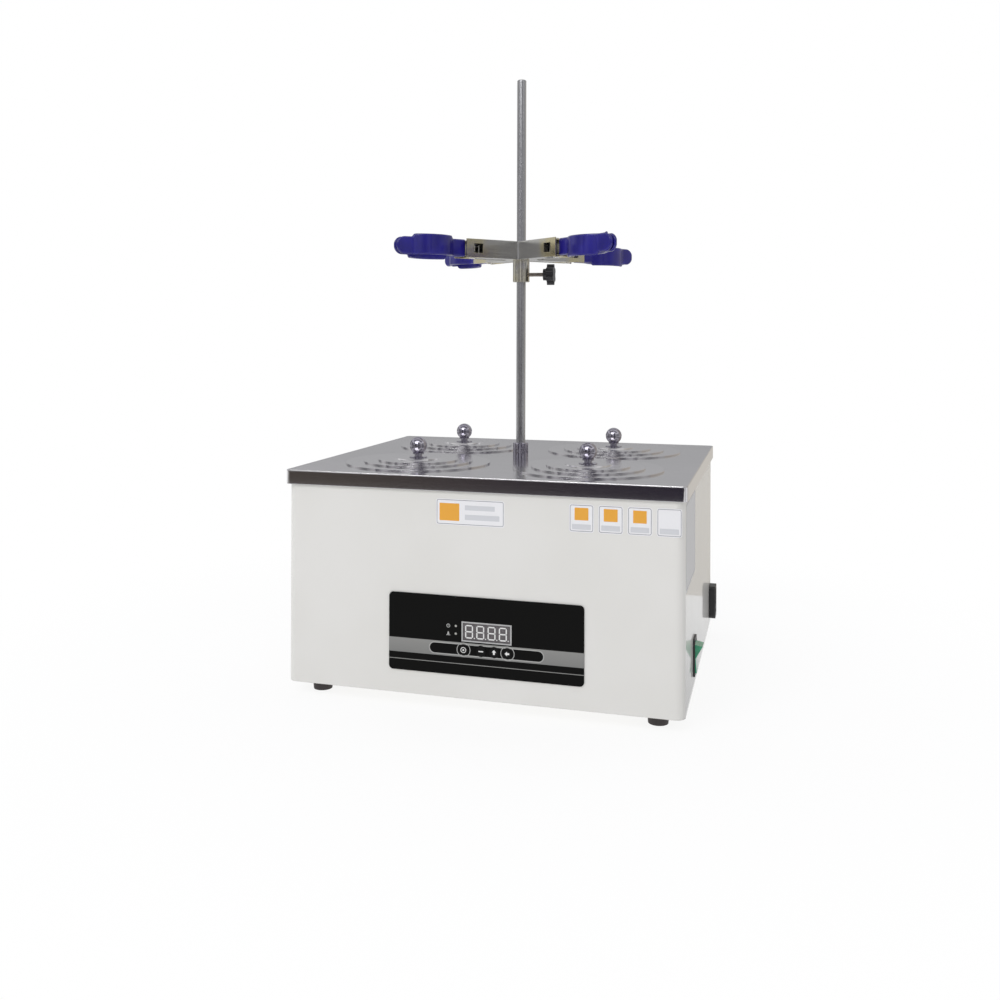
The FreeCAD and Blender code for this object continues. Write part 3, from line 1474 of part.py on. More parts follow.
def least_gap(path, steps_per_turn):
    """Measures how near the wire comes to its own next turn, on points along the path."""
    points = path.discretize(Number=(SPRING_TURNS + 1) * steps_per_turn)
    nearest = min(
        (first - second).Length
        for index, first in enumerate(points)
        for second in points[index + steps_per_turn * 3 // 4:]
    )
    return nearest - 2 * float(S.spring_wire_radius)


def make_springs():
    path = spring_path()
    start = path.Edges[0].firstVertex(True).Point
    way = path.Edges[0].tangentAt(path.Edges[0].FirstParameter)
    section = Part.makeCircle(float(S.spring_wire_radius), start, way)
    coil = path.makePipeShell([Part.Wire(section)], True, False)
    print("least gap between the spring's turns", round(least_gap(path, 60), 3), "volume", round(coil.Volume, 1))
    springs = []
    for number in range(4):
        item = document.addObject("Part::Feature", "spring_" + str(number + 1))
        item.Shape = coil
        item.Placement = FreeCAD.Placement(FreeCAD.Vector(), head_turn(number * FULL_TURN / 4))
        x, y = pivot_spot(number)
        bind(item, ".Placement.Base.x", x)
        bind(item, ".Placement.Base.y", y)
        springs.append(item)
    group("jaw_springs", springs, z=S.arm_middle)


def jaw_shape():
    """Makes one jaw about its pivot pin: knuckle, steel leg and the vinyl-dipped grip with its bulged pad."""
    coat = float(S.jaw_coat)
    half = float(S.jaw_height) / 2
    top = half + float(S.jaw_pad_rise)
    start, pad_start, pad_end, end = (
        float(S.jaw_coat_start), float(S.jaw_pad_start), float(S.jaw_pad_end), float(S.jaw_length))
    knuckle_top = float(S.arm_height) / 2 - float(S.web_inset) - float(S.web_sheet) - float(S.fit_gap)
    knuckle_low = knuckle_top - float(S.knuckle_height)

    def spine(side):
        """Gives the grip's plan curve, moved sideways by half the coat on the chosen side."""
        shift = side * coat / 2
        crown = ((pad_start + pad_end) / 2, float(S.jaw_pad_across))
        points = [
            (start, float(S.jaw_start_across)),
            (pad_start, float(S.jaw_shoulder_across)),
            crown,
            (pad_end, float(S.jaw_waist_across)),
            (end, float(S.jaw_tip_across)),
        ]
        moved = [FreeCAD.Vector(along, across + shift, -top) for along, across in points]
        return [
            Part.LineSegment(moved[0], moved[1]).toShape(),
            Part.Arc(moved[1], moved[2], moved[3]).toShape(),
            Part.LineSegment(moved[3], moved[4]).toShape(),
        ], moved

    outer, outer_points = spine(1)
    inner, inner_points = spine(-1)
    ends = [
        Part.LineSegment(outer_points[-1], inner_points[-1]).toShape(),
        Part.LineSegment(inner_points[0], outer_points[0]).toShape(),
    ]
    plan = Part.Face(Part.Wire(Part.__sortEdges__(outer + inner + ends)))
    slab = plan.extrude(FreeCAD.Vector(0, 0, 2 * top))

    tip = end - half
    wide = float(S.jaw_pad_across) + coat
    corner = (top - half) * 3 / 4

    def side_point(along, level):
        return FreeCAD.Vector(along, -wide, level)

    diagonal = corner * (1 - math.sqrt(0.5))
    outline = [
        Part.LineSegment(side_point(start, -half), side_point(tip, -half)),
        Part.Arc(side_point(tip, -half), side_point(end, 0), side_point(tip, half)),
        Part.LineSegment(side_point(tip, half), side_point(pad_end, half)),
        Part.LineSegment(side_point(pad_end, half), side_point(pad_end, top - corner)),
        Part.Arc(side_point(pad_end, top - corner), side_point(pad_end - diagonal, top - diagonal),
                 side_point(pad_end - corner, top)),
        Part.LineSegment(side_point(pad_end - corner, top), side_point(pad_start + corner, top)),
        Part.Arc(side_point(pad_start + corner, top), side_point(pad_start + diagonal, top - diagonal),
                 side_point(pad_start, top - corner)),
        Part.LineSegment(side_point(pad_start, top - corner), side_point(pad_start, half)),
        Part.LineSegment(side_point(pad_start, half), side_point(start, half)),
        Part.LineSegment(side_point(start, half), side_point(start, -half)),
    ]
    side_face = Part.Face(Part.Wire([line.toShape() for line in outline]))
    grip = slab.common(side_face.extrude(FreeCAD.Vector(0, 2 * wide, 0)))

    steel = float(S.jaw_steel)
    root, start_across = float(S.jaw_root_across), float(S.jaw_start_across)
    leg_start = float(S.jaw_leg_start)
    leg_end = start + coat
    heel_inner = float(S.spring_coil_radius + S.spring_wire_radius + S.fit_gap)

    def leg(from_along, low, high):
        """Gives the flat steel strip from one place along the arm into the coated grip."""
        slope = (start_across - root) / start
        points = []
        for along, side in ((from_along, -1), (leg_end, -1), (leg_end, 1), (from_along, 1)):
            points.append(FreeCAD.Vector(along, root + slope * along + side * steel / 2, low))
        face = Part.Face(Part.makePolygon(points + points[:1]))
        return face.extrude(FreeCAD.Vector(0, 0, high - low))

    def heel(to_along, low, high):
        """Gives the steel tab behind the pin that the spring's tail pushes outwards."""
        corner = FreeCAD.Vector(-float(S.jaw_heel), heel_inner, low)
        return Part.makeBox(to_along - corner.x, steel, high - low, corner)

    bottom = FreeCAD.Vector(0, 0, knuckle_low)
    knuckle = Part.makeCylinder(float(S.knuckle_radius), float(S.knuckle_height), bottom)
    solid = grip.fuse([
        leg(leg_start, -knuckle_top, knuckle_top),
        leg(0, knuckle_low, knuckle_top),
        heel(-leg_start, -knuckle_top, knuckle_top),
        heel(0, knuckle_low, knuckle_top),
        knuckle,
    ])
    bore = Part.makeCylinder(float(S.pivot_radius + S.hole_gap / 2), 2 * top, FreeCAD.Vector(0, 0, -top))
    return solid.cut(bore).removeSplitter()


def make_jaws():
    """Puts two jaws on each pin, the second turned over, so that their knuckles sit one above the other."""
    jaw = jaw_shape()
    arm_names = ["front_right", "back_right", "back_left", "front_left"]
    turned_over = FreeCAD.Rotation(FreeCAD.Vector(1, 0, 0), FULL_TURN / 2)
    for number, arm in enumerate(arm_names):
        x, y = pivot_spot(number)
        for side, flip in (("left", FreeCAD.Rotation()), ("right", turned_over)):
            facing = head_turn(number * FULL_TURN / 4).multiply(flip)
            shaped("jaw_" + arm + "_" + side, jaw, x=x, y=y, z=S.arm_middle, rotation=facing)


def make_thumbscrew():
    """Makes the clamping screw: a steel shank and a lobed plastic knob, midway between two arms."""
    level = S.case_bottom + S.head_height + S.thumbscrew_drop / 2
    start = S.rod_radius + S.hole_gap
    neck = start + S.thumbscrew_shank + S.hub_radius - S.rod_radius
    knob = neck + S.thumbscrew_neck
    end = knob + S.thumbscrew_knob
    shank = new_body("shank")
    pad(shank, "shank", "YZ_Plane", start, neck + S.thumbscrew_neck, circle, 0, 0, S.thumbscrew_radius)
    grip = new_body("grip")
    pad(grip, "core", "YZ_Plane", knob, end, circle, 0, 0, S.thumbscrew_core_radius)
    pad(grip, "neck", "YZ_Plane", neck, knob, circle, 0, 0, S.thumbscrew_neck_radius)
    lobe = pad(grip, "lobe", "YZ_Plane", knob, end, circle, 0, S.thumbscrew_lobe_reach, S.thumbscrew_lobe_radius)
    pattern = grip.newObject("PartDesign::PolarPattern", "lobes")
    pattern.Originals = [lobe]
    axis = [feature for feature in grip.Origin.OriginFeatures if feature.Role == "X_Axis"]
    pattern.Axis = (axis[0], [""])
    pattern.Angle = FULL_TURN
    pattern.Occurrences = LOBE_COUNT
    grip.Tip = pattern
    pocket(grip, "thread", "YZ_Plane", neck - S.overrun, neck + S.thumbscrew_neck + S.hole_gap, circle,
           0, 0, S.thumbscrew_radius + S.hole_gap / 2)
    group("thumbscrew", [shank, grip], z=level, rotation=head_turn(FULL_TURN / 8))


make_outer_case()
make_base_plate()
make_rear_panel()
make_feet()
make_screws()
make_top_deck()
make_lids()
make_tank()
make_insulation()
make_shelf()
make_heater()
make_glands()
make_probe()
make_thermostat()
make_socket()
make_socket_nut()
make_rod()
make_drain_valve()
make_drain_lever()
make_control_panel()
make_display()
make_keys()
make_control_board()
make_relay()
make_terminals()
make_switch_frame()
make_rocker()
make_inlet()
make_hub()
make_brackets()
make_pins()
make_springs()
make_jaws()
make_thumbscrew()
document.recompute()

for item in document.Objects:
    if "Invalid" in item.State or "Error" in item.State:
        raise RuntimeError("not built: " + item.Label + " " + str(item.State))
for item in nodes:
    if item.Shape.isNull() or not item.Shape.isValid():
        raise RuntimeError("no valid shape: " + item.Label)

os.makedirs("parts", exist_ok=True)
for item in nodes:
    item.Shape.exportStep("parts/" + item.Label + ".step")
print(len(nodes), "pieces written")
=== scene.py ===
import json
import math

import bmesh
import bpy
from mathutils import Matrix, Vector


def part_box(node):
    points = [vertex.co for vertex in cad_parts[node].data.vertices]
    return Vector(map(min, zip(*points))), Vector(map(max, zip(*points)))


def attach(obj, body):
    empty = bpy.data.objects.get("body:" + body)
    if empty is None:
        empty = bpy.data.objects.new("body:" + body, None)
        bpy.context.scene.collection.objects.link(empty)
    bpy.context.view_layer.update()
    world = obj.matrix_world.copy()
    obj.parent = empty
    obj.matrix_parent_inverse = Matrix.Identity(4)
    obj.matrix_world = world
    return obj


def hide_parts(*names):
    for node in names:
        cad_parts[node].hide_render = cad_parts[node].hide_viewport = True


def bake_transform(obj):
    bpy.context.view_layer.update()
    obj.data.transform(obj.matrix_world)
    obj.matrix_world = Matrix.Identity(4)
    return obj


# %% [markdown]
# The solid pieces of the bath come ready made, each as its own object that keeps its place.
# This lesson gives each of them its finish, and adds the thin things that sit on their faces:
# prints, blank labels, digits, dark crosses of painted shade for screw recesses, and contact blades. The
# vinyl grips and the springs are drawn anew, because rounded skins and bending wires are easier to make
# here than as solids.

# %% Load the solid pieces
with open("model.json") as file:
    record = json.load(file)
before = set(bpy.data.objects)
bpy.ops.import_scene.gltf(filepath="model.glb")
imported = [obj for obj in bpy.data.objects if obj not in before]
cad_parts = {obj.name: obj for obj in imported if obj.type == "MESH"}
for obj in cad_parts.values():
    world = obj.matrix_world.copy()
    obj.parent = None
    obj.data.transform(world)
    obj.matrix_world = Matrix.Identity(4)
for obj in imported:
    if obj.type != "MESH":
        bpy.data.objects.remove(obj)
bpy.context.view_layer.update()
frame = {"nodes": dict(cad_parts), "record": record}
nodes = frame["nodes"]
MM = 0.001
rod_low, rod_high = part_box("support_rod")
AXIS = (rod_low + rod_high) / 2
print(len(nodes), "solid pieces, rod axis at", [round(v, 4) for v in AXIS.xy])

# %% [markdown]
# Finishes are worked out by arithmetic on shader sockets. The nodes could be wired one by one, but a
# small wrapper lets ordinary plus, minus and times signs build them, so a finish reads like a formula.

# %% A socket that does arithmetic


class Value:
    """One number that varies over a surface."""

    def __init__(self, network, socket):
        self.network = network
        self.socket = socket

    def maths(self, operation, *others):
        inputs = {str(index): item for index, item in enumerate((self, *others))}
        node = self.network.node("ShaderNodeMath", {"operation": operation}, **inputs)
        return Value(self.network, node.outputs[0])

    def __add__(self, other):
        return self.maths("ADD", other)

    def __sub__(self, other):
        return self.maths("SUBTRACT", other)

    def __rsub__(self, other):
        return (self * -1).maths("ADD", other)

    def __mul__(self, other):
        return self.maths("MULTIPLY", other)

    def __truediv__(self, other):
        return self.maths("DIVIDE", other)

    __radd__, __rmul__ = __add__, __mul__

    def size(self):
        return self.maths("ABSOLUTE")

    def root(self):
        return self.maths("SQRT")

    def wave(self):
        return self.maths("SINE")

    def lower(self, other):
        return self.maths("MINIMUM", other)

    def higher(self, other):
        return self.maths("MAXIMUM", other)

    def ramp(self, start, end):
        """Rises smoothly from 0 to 1 between two values."""
        node = self.network.node("ShaderNodeMapRange", {"interpolation_type": "SMOOTHSTEP"}, **{
            "Value": self, "From Min": start, "From Max": end,
        })
        return Value(self.network, node.outputs["Result"])

    def fall(self, start, end):
        """Falls smoothly from 1 to 0 between two values."""
        return 1 - self.ramp(start, end)


print("moves of a value:", ", ".join(name for name in vars(Value) if not name.startswith("_")))

# %% [markdown]
# A network holds the nodes of one material, or of the world. It makes any node from a type, settings
# and values, so that neither the finishes nor the background have to name their links.

# %% A network of nodes


class Network:
    """The shader nodes of a material or of the world."""

    def __init__(self, owner):
        owner.use_nodes = True
        self.tree = owner.node_tree
        self.tree.nodes.clear()

    def fill(self, socket, value):
        """Links or sets one input."""
        if isinstance(value, Value):
            value = value.socket
        if isinstance(value, bpy.types.NodeSocket):
            self.tree.links.new(value, socket)
        else:
            socket.default_value = value

    def node(self, kind, settings=None, **values):
        """Makes a node, with its settings, and with values or links for its inputs."""
        node = self.tree.nodes.new(kind)
        for name, setting in (settings or {}).items():
            setattr(node, name, setting)
        for name, value in values.items():
            self.fill(node.inputs[int(name) if name.isdigit() else name], value)
        return node

    def mix(self, factor, first, second):
        """Mixes two colours, each a tuple or a colour socket."""
        node = self.node("ShaderNodeMix", {"data_type": "RGBA"}, **{"0": factor})
        colours = [socket for socket in node.inputs if socket.type == "RGBA"]
        for socket, colour in zip(colours, (first, second)):
            self.fill(socket, (*colour, 1.0) if isinstance(colour, tuple) else colour)
        return [socket for socket in node.outputs if socket.type == "RGBA"][0]

    def both(self, share, first, second):
        """Gives the first surface where the share is 0, and the second where it is 1."""
        node = self.node("ShaderNodeMixShader", **{
            "0": share, "1": first.outputs[0], "2": second.outputs[0],
        })
        return node.outputs[0]


print("moves of a network:", ", ".join(name for name in vars(Network) if not name.startswith("_")))

# %% [markdown]
# A finish is one material: a network with one main surface shader. Its class keeps the few moves that
# every finish shares: noise, tones that follow a pattern, a fine relief, and edges that catch light.

# %% A finish

finishes = {}


class Paint(Network):
    """A material with one main surface shader."""

    def __init__(self, name, colour, roughness, metallic=0.0, **values):
        self.name = name
        self.material = bpy.data.materials.new(name)
        super().__init__(self.material)
        self.material.diffuse_color = (*colour, 1.0)
        self.output = self.node("ShaderNodeOutputMaterial")
        self.shader = self.surface(colour, roughness, metallic, **values)
        self.show(self.shader.outputs[0])
        self.place = self.node("ShaderNodeTexCoord").outputs["Object"]
        split = self.node("ShaderNodeSeparateXYZ", **{"0": self.place})
        self.x, self.y, self.z = (Value(self, split.outputs[axis]) for axis in "XYZ")

    def surface(self, colour, roughness, metallic, **values):
        return self.node("ShaderNodeBsdfPrincipled", **{
            "Base Color": (*colour, 1.0), "Roughness": roughness, "Metallic": metallic, **values,
        })

    def show(self, socket):
        self.fill(self.output.inputs["Surface"], socket)

    def set(self, name, value):
        """Links or sets one input of the main shader."""
        self.fill(self.shader.inputs[name], value)

    def keep(self):
        """Puts the finish on the list, and says how many nodes it took."""
        finishes[self.name] = self.material
        print("finish", self.name, "has", len(self.tree.nodes), "nodes")
        return self.material

    def stretched(self, x, y, z):
        """Gives the place in space, scaled differently along each axis."""
        node = self.node("ShaderNodeVectorMath", {"operation": "MULTIPLY"}, **{
            "0": self.place, "1": (x, y, z),
        })
        return node.outputs[0]

    def noise(self, scale, detail=3.0, where=None):
        node = self.node("ShaderNodeTexNoise", **{
            "Vector": where or self.place, "Scale": scale, "Detail": detail,
        })
        return Value(self, node.outputs[0])

    def streaks(self, value, scale, detail=4.0):
        """Gives noise that varies with one value only."""
        node = self.node("ShaderNodeTexNoise", {"noise_dimensions": "1D"}, **{
            "W": value, "Scale": scale, "Detail": detail,
        })
        return Value(self, node.outputs[0])

    def tones(self, pattern, low, high, start=0.3, end=0.7):
        """Lets the colour go from one tone to another where a pattern rises."""
        self.set("Base Color", self.mix(pattern.ramp(start, end), low, high))

    def relief(self, height, distance, strength, edge=0.0):
        """Raises a fine relief, and softens sharp edges where an edge radius is given."""
        values = {"Height": height, "Distance": distance, "Strength": strength}
        if edge:
            bevel = self.node("ShaderNodeBevel", {"samples": 4}, **{"Radius": edge})
            values["Normal"] = bevel.outputs[0]
        self.set("Normal", self.node("ShaderNodeBump", **values).outputs[0])

    def box_mask(self, centre, half, corner, blur):
        """Gives 1 inside a rounded rectangle on the front, which is seen along Y."""
        across = (self.x - centre[0]).size() - (half[0] - corner)
        up = (self.z - centre[1]).size() - (half[1] - corner)
        outside = across.higher(0) * across.higher(0) + up.higher(0) * up.higher(0)
        distance = outside.root() + across.higher(up).lower(0) - corner
        return distance.fall(-blur, blur)

    def reach(self, centre_x, centre_y):
        """Gives the distance from an upright line."""
        x = self.x - centre_x
        y = self.y - centre_y
        return (x * x + y * y).root()


print("moves of a finish:", ", ".join(name for name in vars(Paint) if not name.startswith("_")))

# %% [markdown]
# The case is folded steel sheet, sprayed and baked. A second, clear skin could be modelled over it, but
# the shader's own coat does the same: a side seen almost edge on mirrors what stands beside it. The
# gloss and the tone vary a little from place to place, as sprayed paint does.

# %% White paint

paint = Paint("white_paint", (0.73, 0.72, 0.69), 0.40, **{"Coat Weight": 0.7, "Coat Roughness": 0.05})
paint.tones(paint.noise(9.0, 2.0), (0.72, 0.71, 0.68), (0.745, 0.735, 0.71), 0.35)
paint.set("Roughness", 0.34 + 0.12 * paint.noise(40.0))
paint.relief(paint.noise(650.0, 2.0), 0.01 * MM, 0.3, edge=0.9 * MM)
paint.keep()

# %% [markdown]
# The cover is polished stainless sheet. One even roughness would make it look like tinted glass.
# Polishing leaves fine lines along its length, which stretch each reflection, and wiping leaves broad
# soft clouds in the gloss, so both are noise here. They fade out at the top's edge, because the skirt
# below it is a clean mirror.

# %% Polished sheet

COVER_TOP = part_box("top_deck")[1].z
FADE_START, FADE_END = 1.8 * MM, 0.6 * MM
paint = Paint("cover_steel", (0.62, 0.61, 0.625), 0.12, 1.0)
lines = paint.noise(1.0, 5.0, paint.stretched(6.0, 1500.0, 1500.0))
cloud = paint.noise(14.0, 3.0)
top = paint.z.ramp(COVER_TOP - FADE_START, COVER_TOP - FADE_END)
paint.set("Roughness", 0.04 + top * (0.03 + 0.10 * lines + 0.08 * cloud.ramp(0.45, 0.75)))
paint.tones(lines, (0.57, 0.56, 0.575), (0.67, 0.66, 0.675))
paint.relief(top * (lines + 0.6 * paint.noise(22.0, 1.0)), 0.04 * MM, 0.35, edge=0.8 * MM)
paint.keep()

# %% [markdown]
# The rings and caps are spun on a lathe, so their tool lines run round each lid's own centre. The
# shader's anisotropy would only stretch the highlights. A relief that follows the distance from that
# centre gives fine rings too, and draws the bright bow-tie that spun discs show.

# %% Spun discs


def spun_steel(name, centre):
    paint = Paint(name, (0.67, 0.66, 0.675), 0.10, 1.0)
    reach = paint.reach(centre.x, centre.y)
    lines = paint.streaks(reach, 1400.0)
    broad = paint.streaks(reach, 160.0, 1.0)
    paint.set("Roughness", 0.06 + 0.10 * lines + 0.05 * paint.noise(30.0))
    paint.tones(lines, (0.62, 0.61, 0.625), (0.73, 0.72, 0.735))
    paint.relief(lines + broad, 0.06 * MM, 0.5, edge=0.5 * MM)
    return paint.keep()


own_finishes = {}
for place in ("front_left", "front_right", "back_left", "back_right"):
    low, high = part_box("lid_cap_" + place)
    disc = spun_steel("spun_steel_" + place, (low + high) / 2)
    for piece in ("outer_ring_", "middle_ring_", "lid_cap_"):
        own_finishes[piece + place] = disc

# %% [markdown]
# Knobs and the rod's collar are turned and chrome plated: nearly perfect mirrors with a cold tint. The
# tint is in the metal's own colour, because a mirror has no other.

# %% Chrome

paint = Paint("chrome", (0.40, 0.385, 0.45), 0.04, 1.0)
paint.set("Roughness", 0.03 + 0.04 * paint.noise(300.0))
paint.tones(paint.noise(60.0), (0.34, 0.325, 0.39), (0.44, 0.425, 0.47))
paint.keep()

# %% [markdown]
# The rod is drawn bar, ground along its length and wiped, so its grain is long, fine and faint. Noise
# that is squeezed across and stretched upwards draws it, with no picture to wrap round the bar. Tank,
# shelf, heater and probe share its finish. The riveted pins and spring wire are the same, but brighter.

# %% Plain stainless steel


def steel(name, shade, gloss):
    paint = Paint(name, (shade, shade, shade + 0.01), gloss, 1.0)
    grain = paint.noise(1.0, 3.0, paint.stretched(260.0, 260.0, 7.0))
    low, high = shade * 0.96, shade * 1.05
    paint.set("Roughness", gloss + 0.06 * grain)
    paint.tones(grain, (low, low, low + 0.01), (high, high, high + 0.01))
    paint.relief(grain, 0.004 * MM, 0.2, edge=0.4 * MM)
    return paint.keep()


steel("steel", 0.46, 0.22)
own_finishes["jaw_pins"] = steel("spring_steel", 0.86, 0.34)

# %% [markdown]
# The clamp head is pressed from strip, welded and nickel plated. Plating over weld heat looks a little
# straw coloured, near the middle and at the arms' ends. A painted mask could mark those places, but the
# distance from the rod finds them by itself. Handling scratches the faces.

# %% Nickel plate

paint = Paint("plated_steel", (0.62, 0.61, 0.57), 0.22, 1.0)
reach = paint.reach(AXIS.x, AXIS.y)
scratches = paint.noise(1.0, 4.0, paint.stretched(30.0, 30.0, 420.0))
warm = reach.ramp(45 * MM, 70 * MM).higher(0.6 * reach.fall(12 * MM, 26 * MM))
straw = (warm * paint.noise(60.0)).ramp(0.15, 0.55)
clean = paint.mix(scratches.ramp(0.3, 0.75), (0.55, 0.545, 0.525), (0.61, 0.605, 0.58))
paint.set("Base Color", paint.mix(straw, clean, (0.66, 0.60, 0.40)))
paint.set("Roughness", 0.18 + 0.07 * scratches)
paint.relief(0.4 * scratches + paint.noise(45.0, 1.0), 0.02 * MM, 0.25, edge=0.5 * MM)
paint.keep()

# %% [markdown]
# A jaw is a steel strip whose outer part has been dipped in liquid vinyl. The skin is thick and
# shiny, and sags slightly as it sets, so it gets a coat over deep blue and a broad, shallow relief. The
# bare part is spring steel, ground along the strip, with noise squeezed into lines as on the rod.

# %% Dipped vinyl and jaw steel

paint = Paint("blue_vinyl", (0.009, 0.006, 0.18), 0.30, **{
    "Specular IOR Level": 0.30, "Coat Weight": 0.45, "Coat Roughness": 0.07,
})
sag, skin = paint.noise(55.0, 1.0), paint.noise(700.0, 3.0)
paint.tones(sag, (0.008, 0.005, 0.155), (0.013, 0.009, 0.215), 0.3, 0.75)
paint.set("Roughness", 0.28 + 0.14 * skin)
paint.relief(sag + 0.04 * skin, 0.6 * MM, 0.4)
paint.keep()

paint = Paint("jaw_steel", (0.60, 0.59, 0.56), 0.2, 1.0)
grain = paint.noise(1.0, 5.0, paint.stretched(120.0, 120.0, 1500.0))
paint.set("Roughness", 0.14 + 0.2 * grain)
paint.tones(grain, (0.54, 0.53, 0.50), (0.66, 0.65, 0.61))
paint.relief(grain, 0.02 * MM, 0.3, edge=0.4 * MM)
paint.keep()

# %% [markdown]
# The front panel is one printed film. The shapes printed on it are drawn here from its own edges: a
# grey band right across, a dark slot with round ends on the band, and a thin line below. They are part
# of the finish, not pieces laid on it, because ink has no thickness that one could see.

# %% Printed film

panel_low, panel_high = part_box("control_panel")
case_low, case_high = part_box("outer_case")
PANEL_ZERO = Vector((AXIS.x, 0, case_low.z))
BAND_LOW, BAND_HIGH = 43.1 * MM, 58.0 * MM
SLOT_LEFT, SLOT_RIGHT, SLOT_UP, SLOT_TALL = -49.3 * MM, 71.5 * MM, 50.6 * MM, 10.4 * MM
SLOT_RIM, LINE_UP, LINE_WIDE, INK_BLUR = 0.9 * MM, 36.0 * MM, 0.7 * MM, 0.08 * MM

black, grey, pale = (0.0052, 0.0052, 0.0050), (0.27, 0.27, 0.26), (0.42, 0.42, 0.41)
paint = Paint("panel_film", black, 0.22, **{"Specular IOR Level": 0.05})
middle, wide = (panel_low.x + panel_high.x) / 2, (panel_high.x - panel_low.x) / 2
band_at = (middle, PANEL_ZERO.z + (BAND_LOW + BAND_HIGH) / 2)
band = paint.box_mask(band_at, (wide, (BAND_HIGH - BAND_LOW) / 2), 0.0, INK_BLUR)
slot_at = (PANEL_ZERO.x + (SLOT_LEFT + SLOT_RIGHT) / 2, PANEL_ZERO.z + SLOT_UP)
slot_half = ((SLOT_RIGHT - SLOT_LEFT) / 2, SLOT_TALL / 2)
slot = paint.box_mask(slot_at, slot_half, slot_half[1], INK_BLUR)
rim_half = (slot_half[0] + SLOT_RIM, slot_half[1] + SLOT_RIM)
rim = paint.box_mask(slot_at, rim_half, rim_half[1], INK_BLUR)
line = paint.box_mask((middle, PANEL_ZERO.z + LINE_UP), (wide, LINE_WIDE / 2), 0.0, INK_BLUR)
shade = (paint.z - PANEL_ZERO.z - BAND_LOW) / (BAND_HIGH - BAND_LOW)
colour = paint.mix(band, black, paint.mix(shade, (0.22, 0.22, 0.215), grey))
colour = paint.mix(slot, paint.mix(rim, colour, pale), black)
paint.set("Base Color", paint.mix(line, colour, grey))
paint.set("Roughness", 0.16 + 0.1 * paint.noise(25.0) + 0.15 * band)
paint.relief(paint.noise(1500.0, 1.0), 0.01 * MM, 0.3, edge=0.3 * MM)
paint.keep()

# %% [markdown]
# The digit block has a pale moulded rim round a smoked face, and the two signal lights beside it are
# small milky domes, so one finish picks its colour by where on the block a point lies.

# %% Digit block and lights

DISPLAY_RIM = 1.5 * MM
WINDOW_LEFT, WINDOW_RIGHT = PANEL_ZERO.x - 15.0 * MM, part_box("display_module")[1].x
WINDOW_LOW, WINDOW_HIGH = PANEL_ZERO.z + 59.2 * MM, PANEL_ZERO.z + 80.0 * MM
LIGHTS_END, BLOCK_START = WINDOW_LEFT - 4 * MM, WINDOW_LEFT - 3 * MM
window_x, window_z = (WINDOW_LEFT + WINDOW_RIGHT) / 2, (WINDOW_LOW + WINDOW_HIGH) / 2

paint = Paint("display_plastic", (0.03, 0.03, 0.032), 0.3, **{"Coat Weight": 0.3})
half = ((WINDOW_RIGHT - WINDOW_LEFT) / 2 - DISPLAY_RIM, (WINDOW_HIGH - WINDOW_LOW) / 2 - DISPLAY_RIM)
face = paint.box_mask((window_x, window_z), half, 0.2 * MM, 0.05 * MM)
light = paint.x.fall(LIGHTS_END, BLOCK_START)
colour = paint.mix(face, (0.42, 0.42, 0.42), (0.085, 0.075, 0.08))
paint.set("Base Color", paint.mix(light, colour, (0.50, 0.50, 0.46)))
paint.set("Roughness", 0.22 + 0.1 * paint.noise(200.0))
paint.keep()

# %% [markdown]
# Feet and keys are soft rubber, and housings are black plastic from a spark eroded mould. Both are even
# in colour, so only the gloss and a fine relief tell them apart from flat grey.

# %% Rubbers and plastics


def rubber(name, colour, roughness, shine=0.5):
    paint = Paint(name, colour, roughness, **{"Specular IOR Level": shine})
    paint.set("Roughness", roughness - 0.06 + 0.14 * paint.noise(250.0))
    paint.relief(paint.noise(1100.0, 3.0), 0.05 * MM, 0.5, edge=0.5 * MM)
    paint.keep()


def grained_plastic(name, colour, roughness):
    paint = Paint(name, colour, roughness, **{"Coat Roughness": 0.1})
    grain = paint.noise(1600.0, 2.0)
    paint.set("Roughness", roughness - 0.05 + 0.12 * grain)
    paint.relief(grain, 0.06 * MM, 0.5, edge=0.4 * MM)
    paint.keep()


rubber("rubber", (0.036, 0.028, 0.029), 0.62)
rubber("key_rubber", (0.004, 0.004, 0.004), 0.50, 0.12)
grained_plastic("ceramic_black", (0.03, 0.03, 0.03), 0.5)
grained_plastic("black_plastic", (0.014, 0.014, 0.015), 0.38)

# %% [markdown]
# The rocker is clear green plastic with a white bar and a white ring, the plain signs of on and off.
# They are printed in its finish, so they turn with it.

# %% Green rocker

BAR_UP, BAR_HALF, SIGN_HALF = 8.0 * MM, 3.0 * MM, 0.5 * MM
RING_DOWN, RING_RADIUS, RING_HALF = 8.5 * MM, 2.6 * MM, 0.4 * MM
SIGN_BLUR = 0.2 * MM
low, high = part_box("power_rocker")
paint = Paint("rocker_green", (0.01, 0.36, 0.17), 0.16, **{"Coat Weight": 0.6, "Coat Roughness": 0.05})
across, up = paint.y - (low.y + high.y) / 2, paint.z - (low.z + high.z) / 2
bar_across = across.size().fall(SIGN_HALF, SIGN_HALF + SIGN_BLUR)
bar = bar_across * (up - BAR_UP).size().fall(BAR_HALF, BAR_HALF + SIGN_BLUR)
reach = (across * across + (up + RING_DOWN) * (up + RING_DOWN)).root()
ring = (reach - RING_RADIUS).size().fall(RING_HALF, RING_HALF + SIGN_BLUR)
deep = paint.noise(90.0, 2.0)
green = paint.mix(deep.ramp(0.3, 0.7), (0.008, 0.30, 0.14), (0.02, 0.44, 0.22))
paint.set("Base Color", paint.mix(bar.higher(ring), green, (0.70, 0.74, 0.70)))
paint.relief(deep, 0.02 * MM, 0.3, edge=0.6 * MM)
paint.keep()

# %% [markdown]
# The clamp screw and the drain lever are each one solid, but metal at one end and plastic at the other.
# A share that rises where the plastic starts picks between two surfaces, so neither has to be cut. The
# screw's thread is a wave in its relief.

# %% Screw with a moulded grip, lever with a sleeve

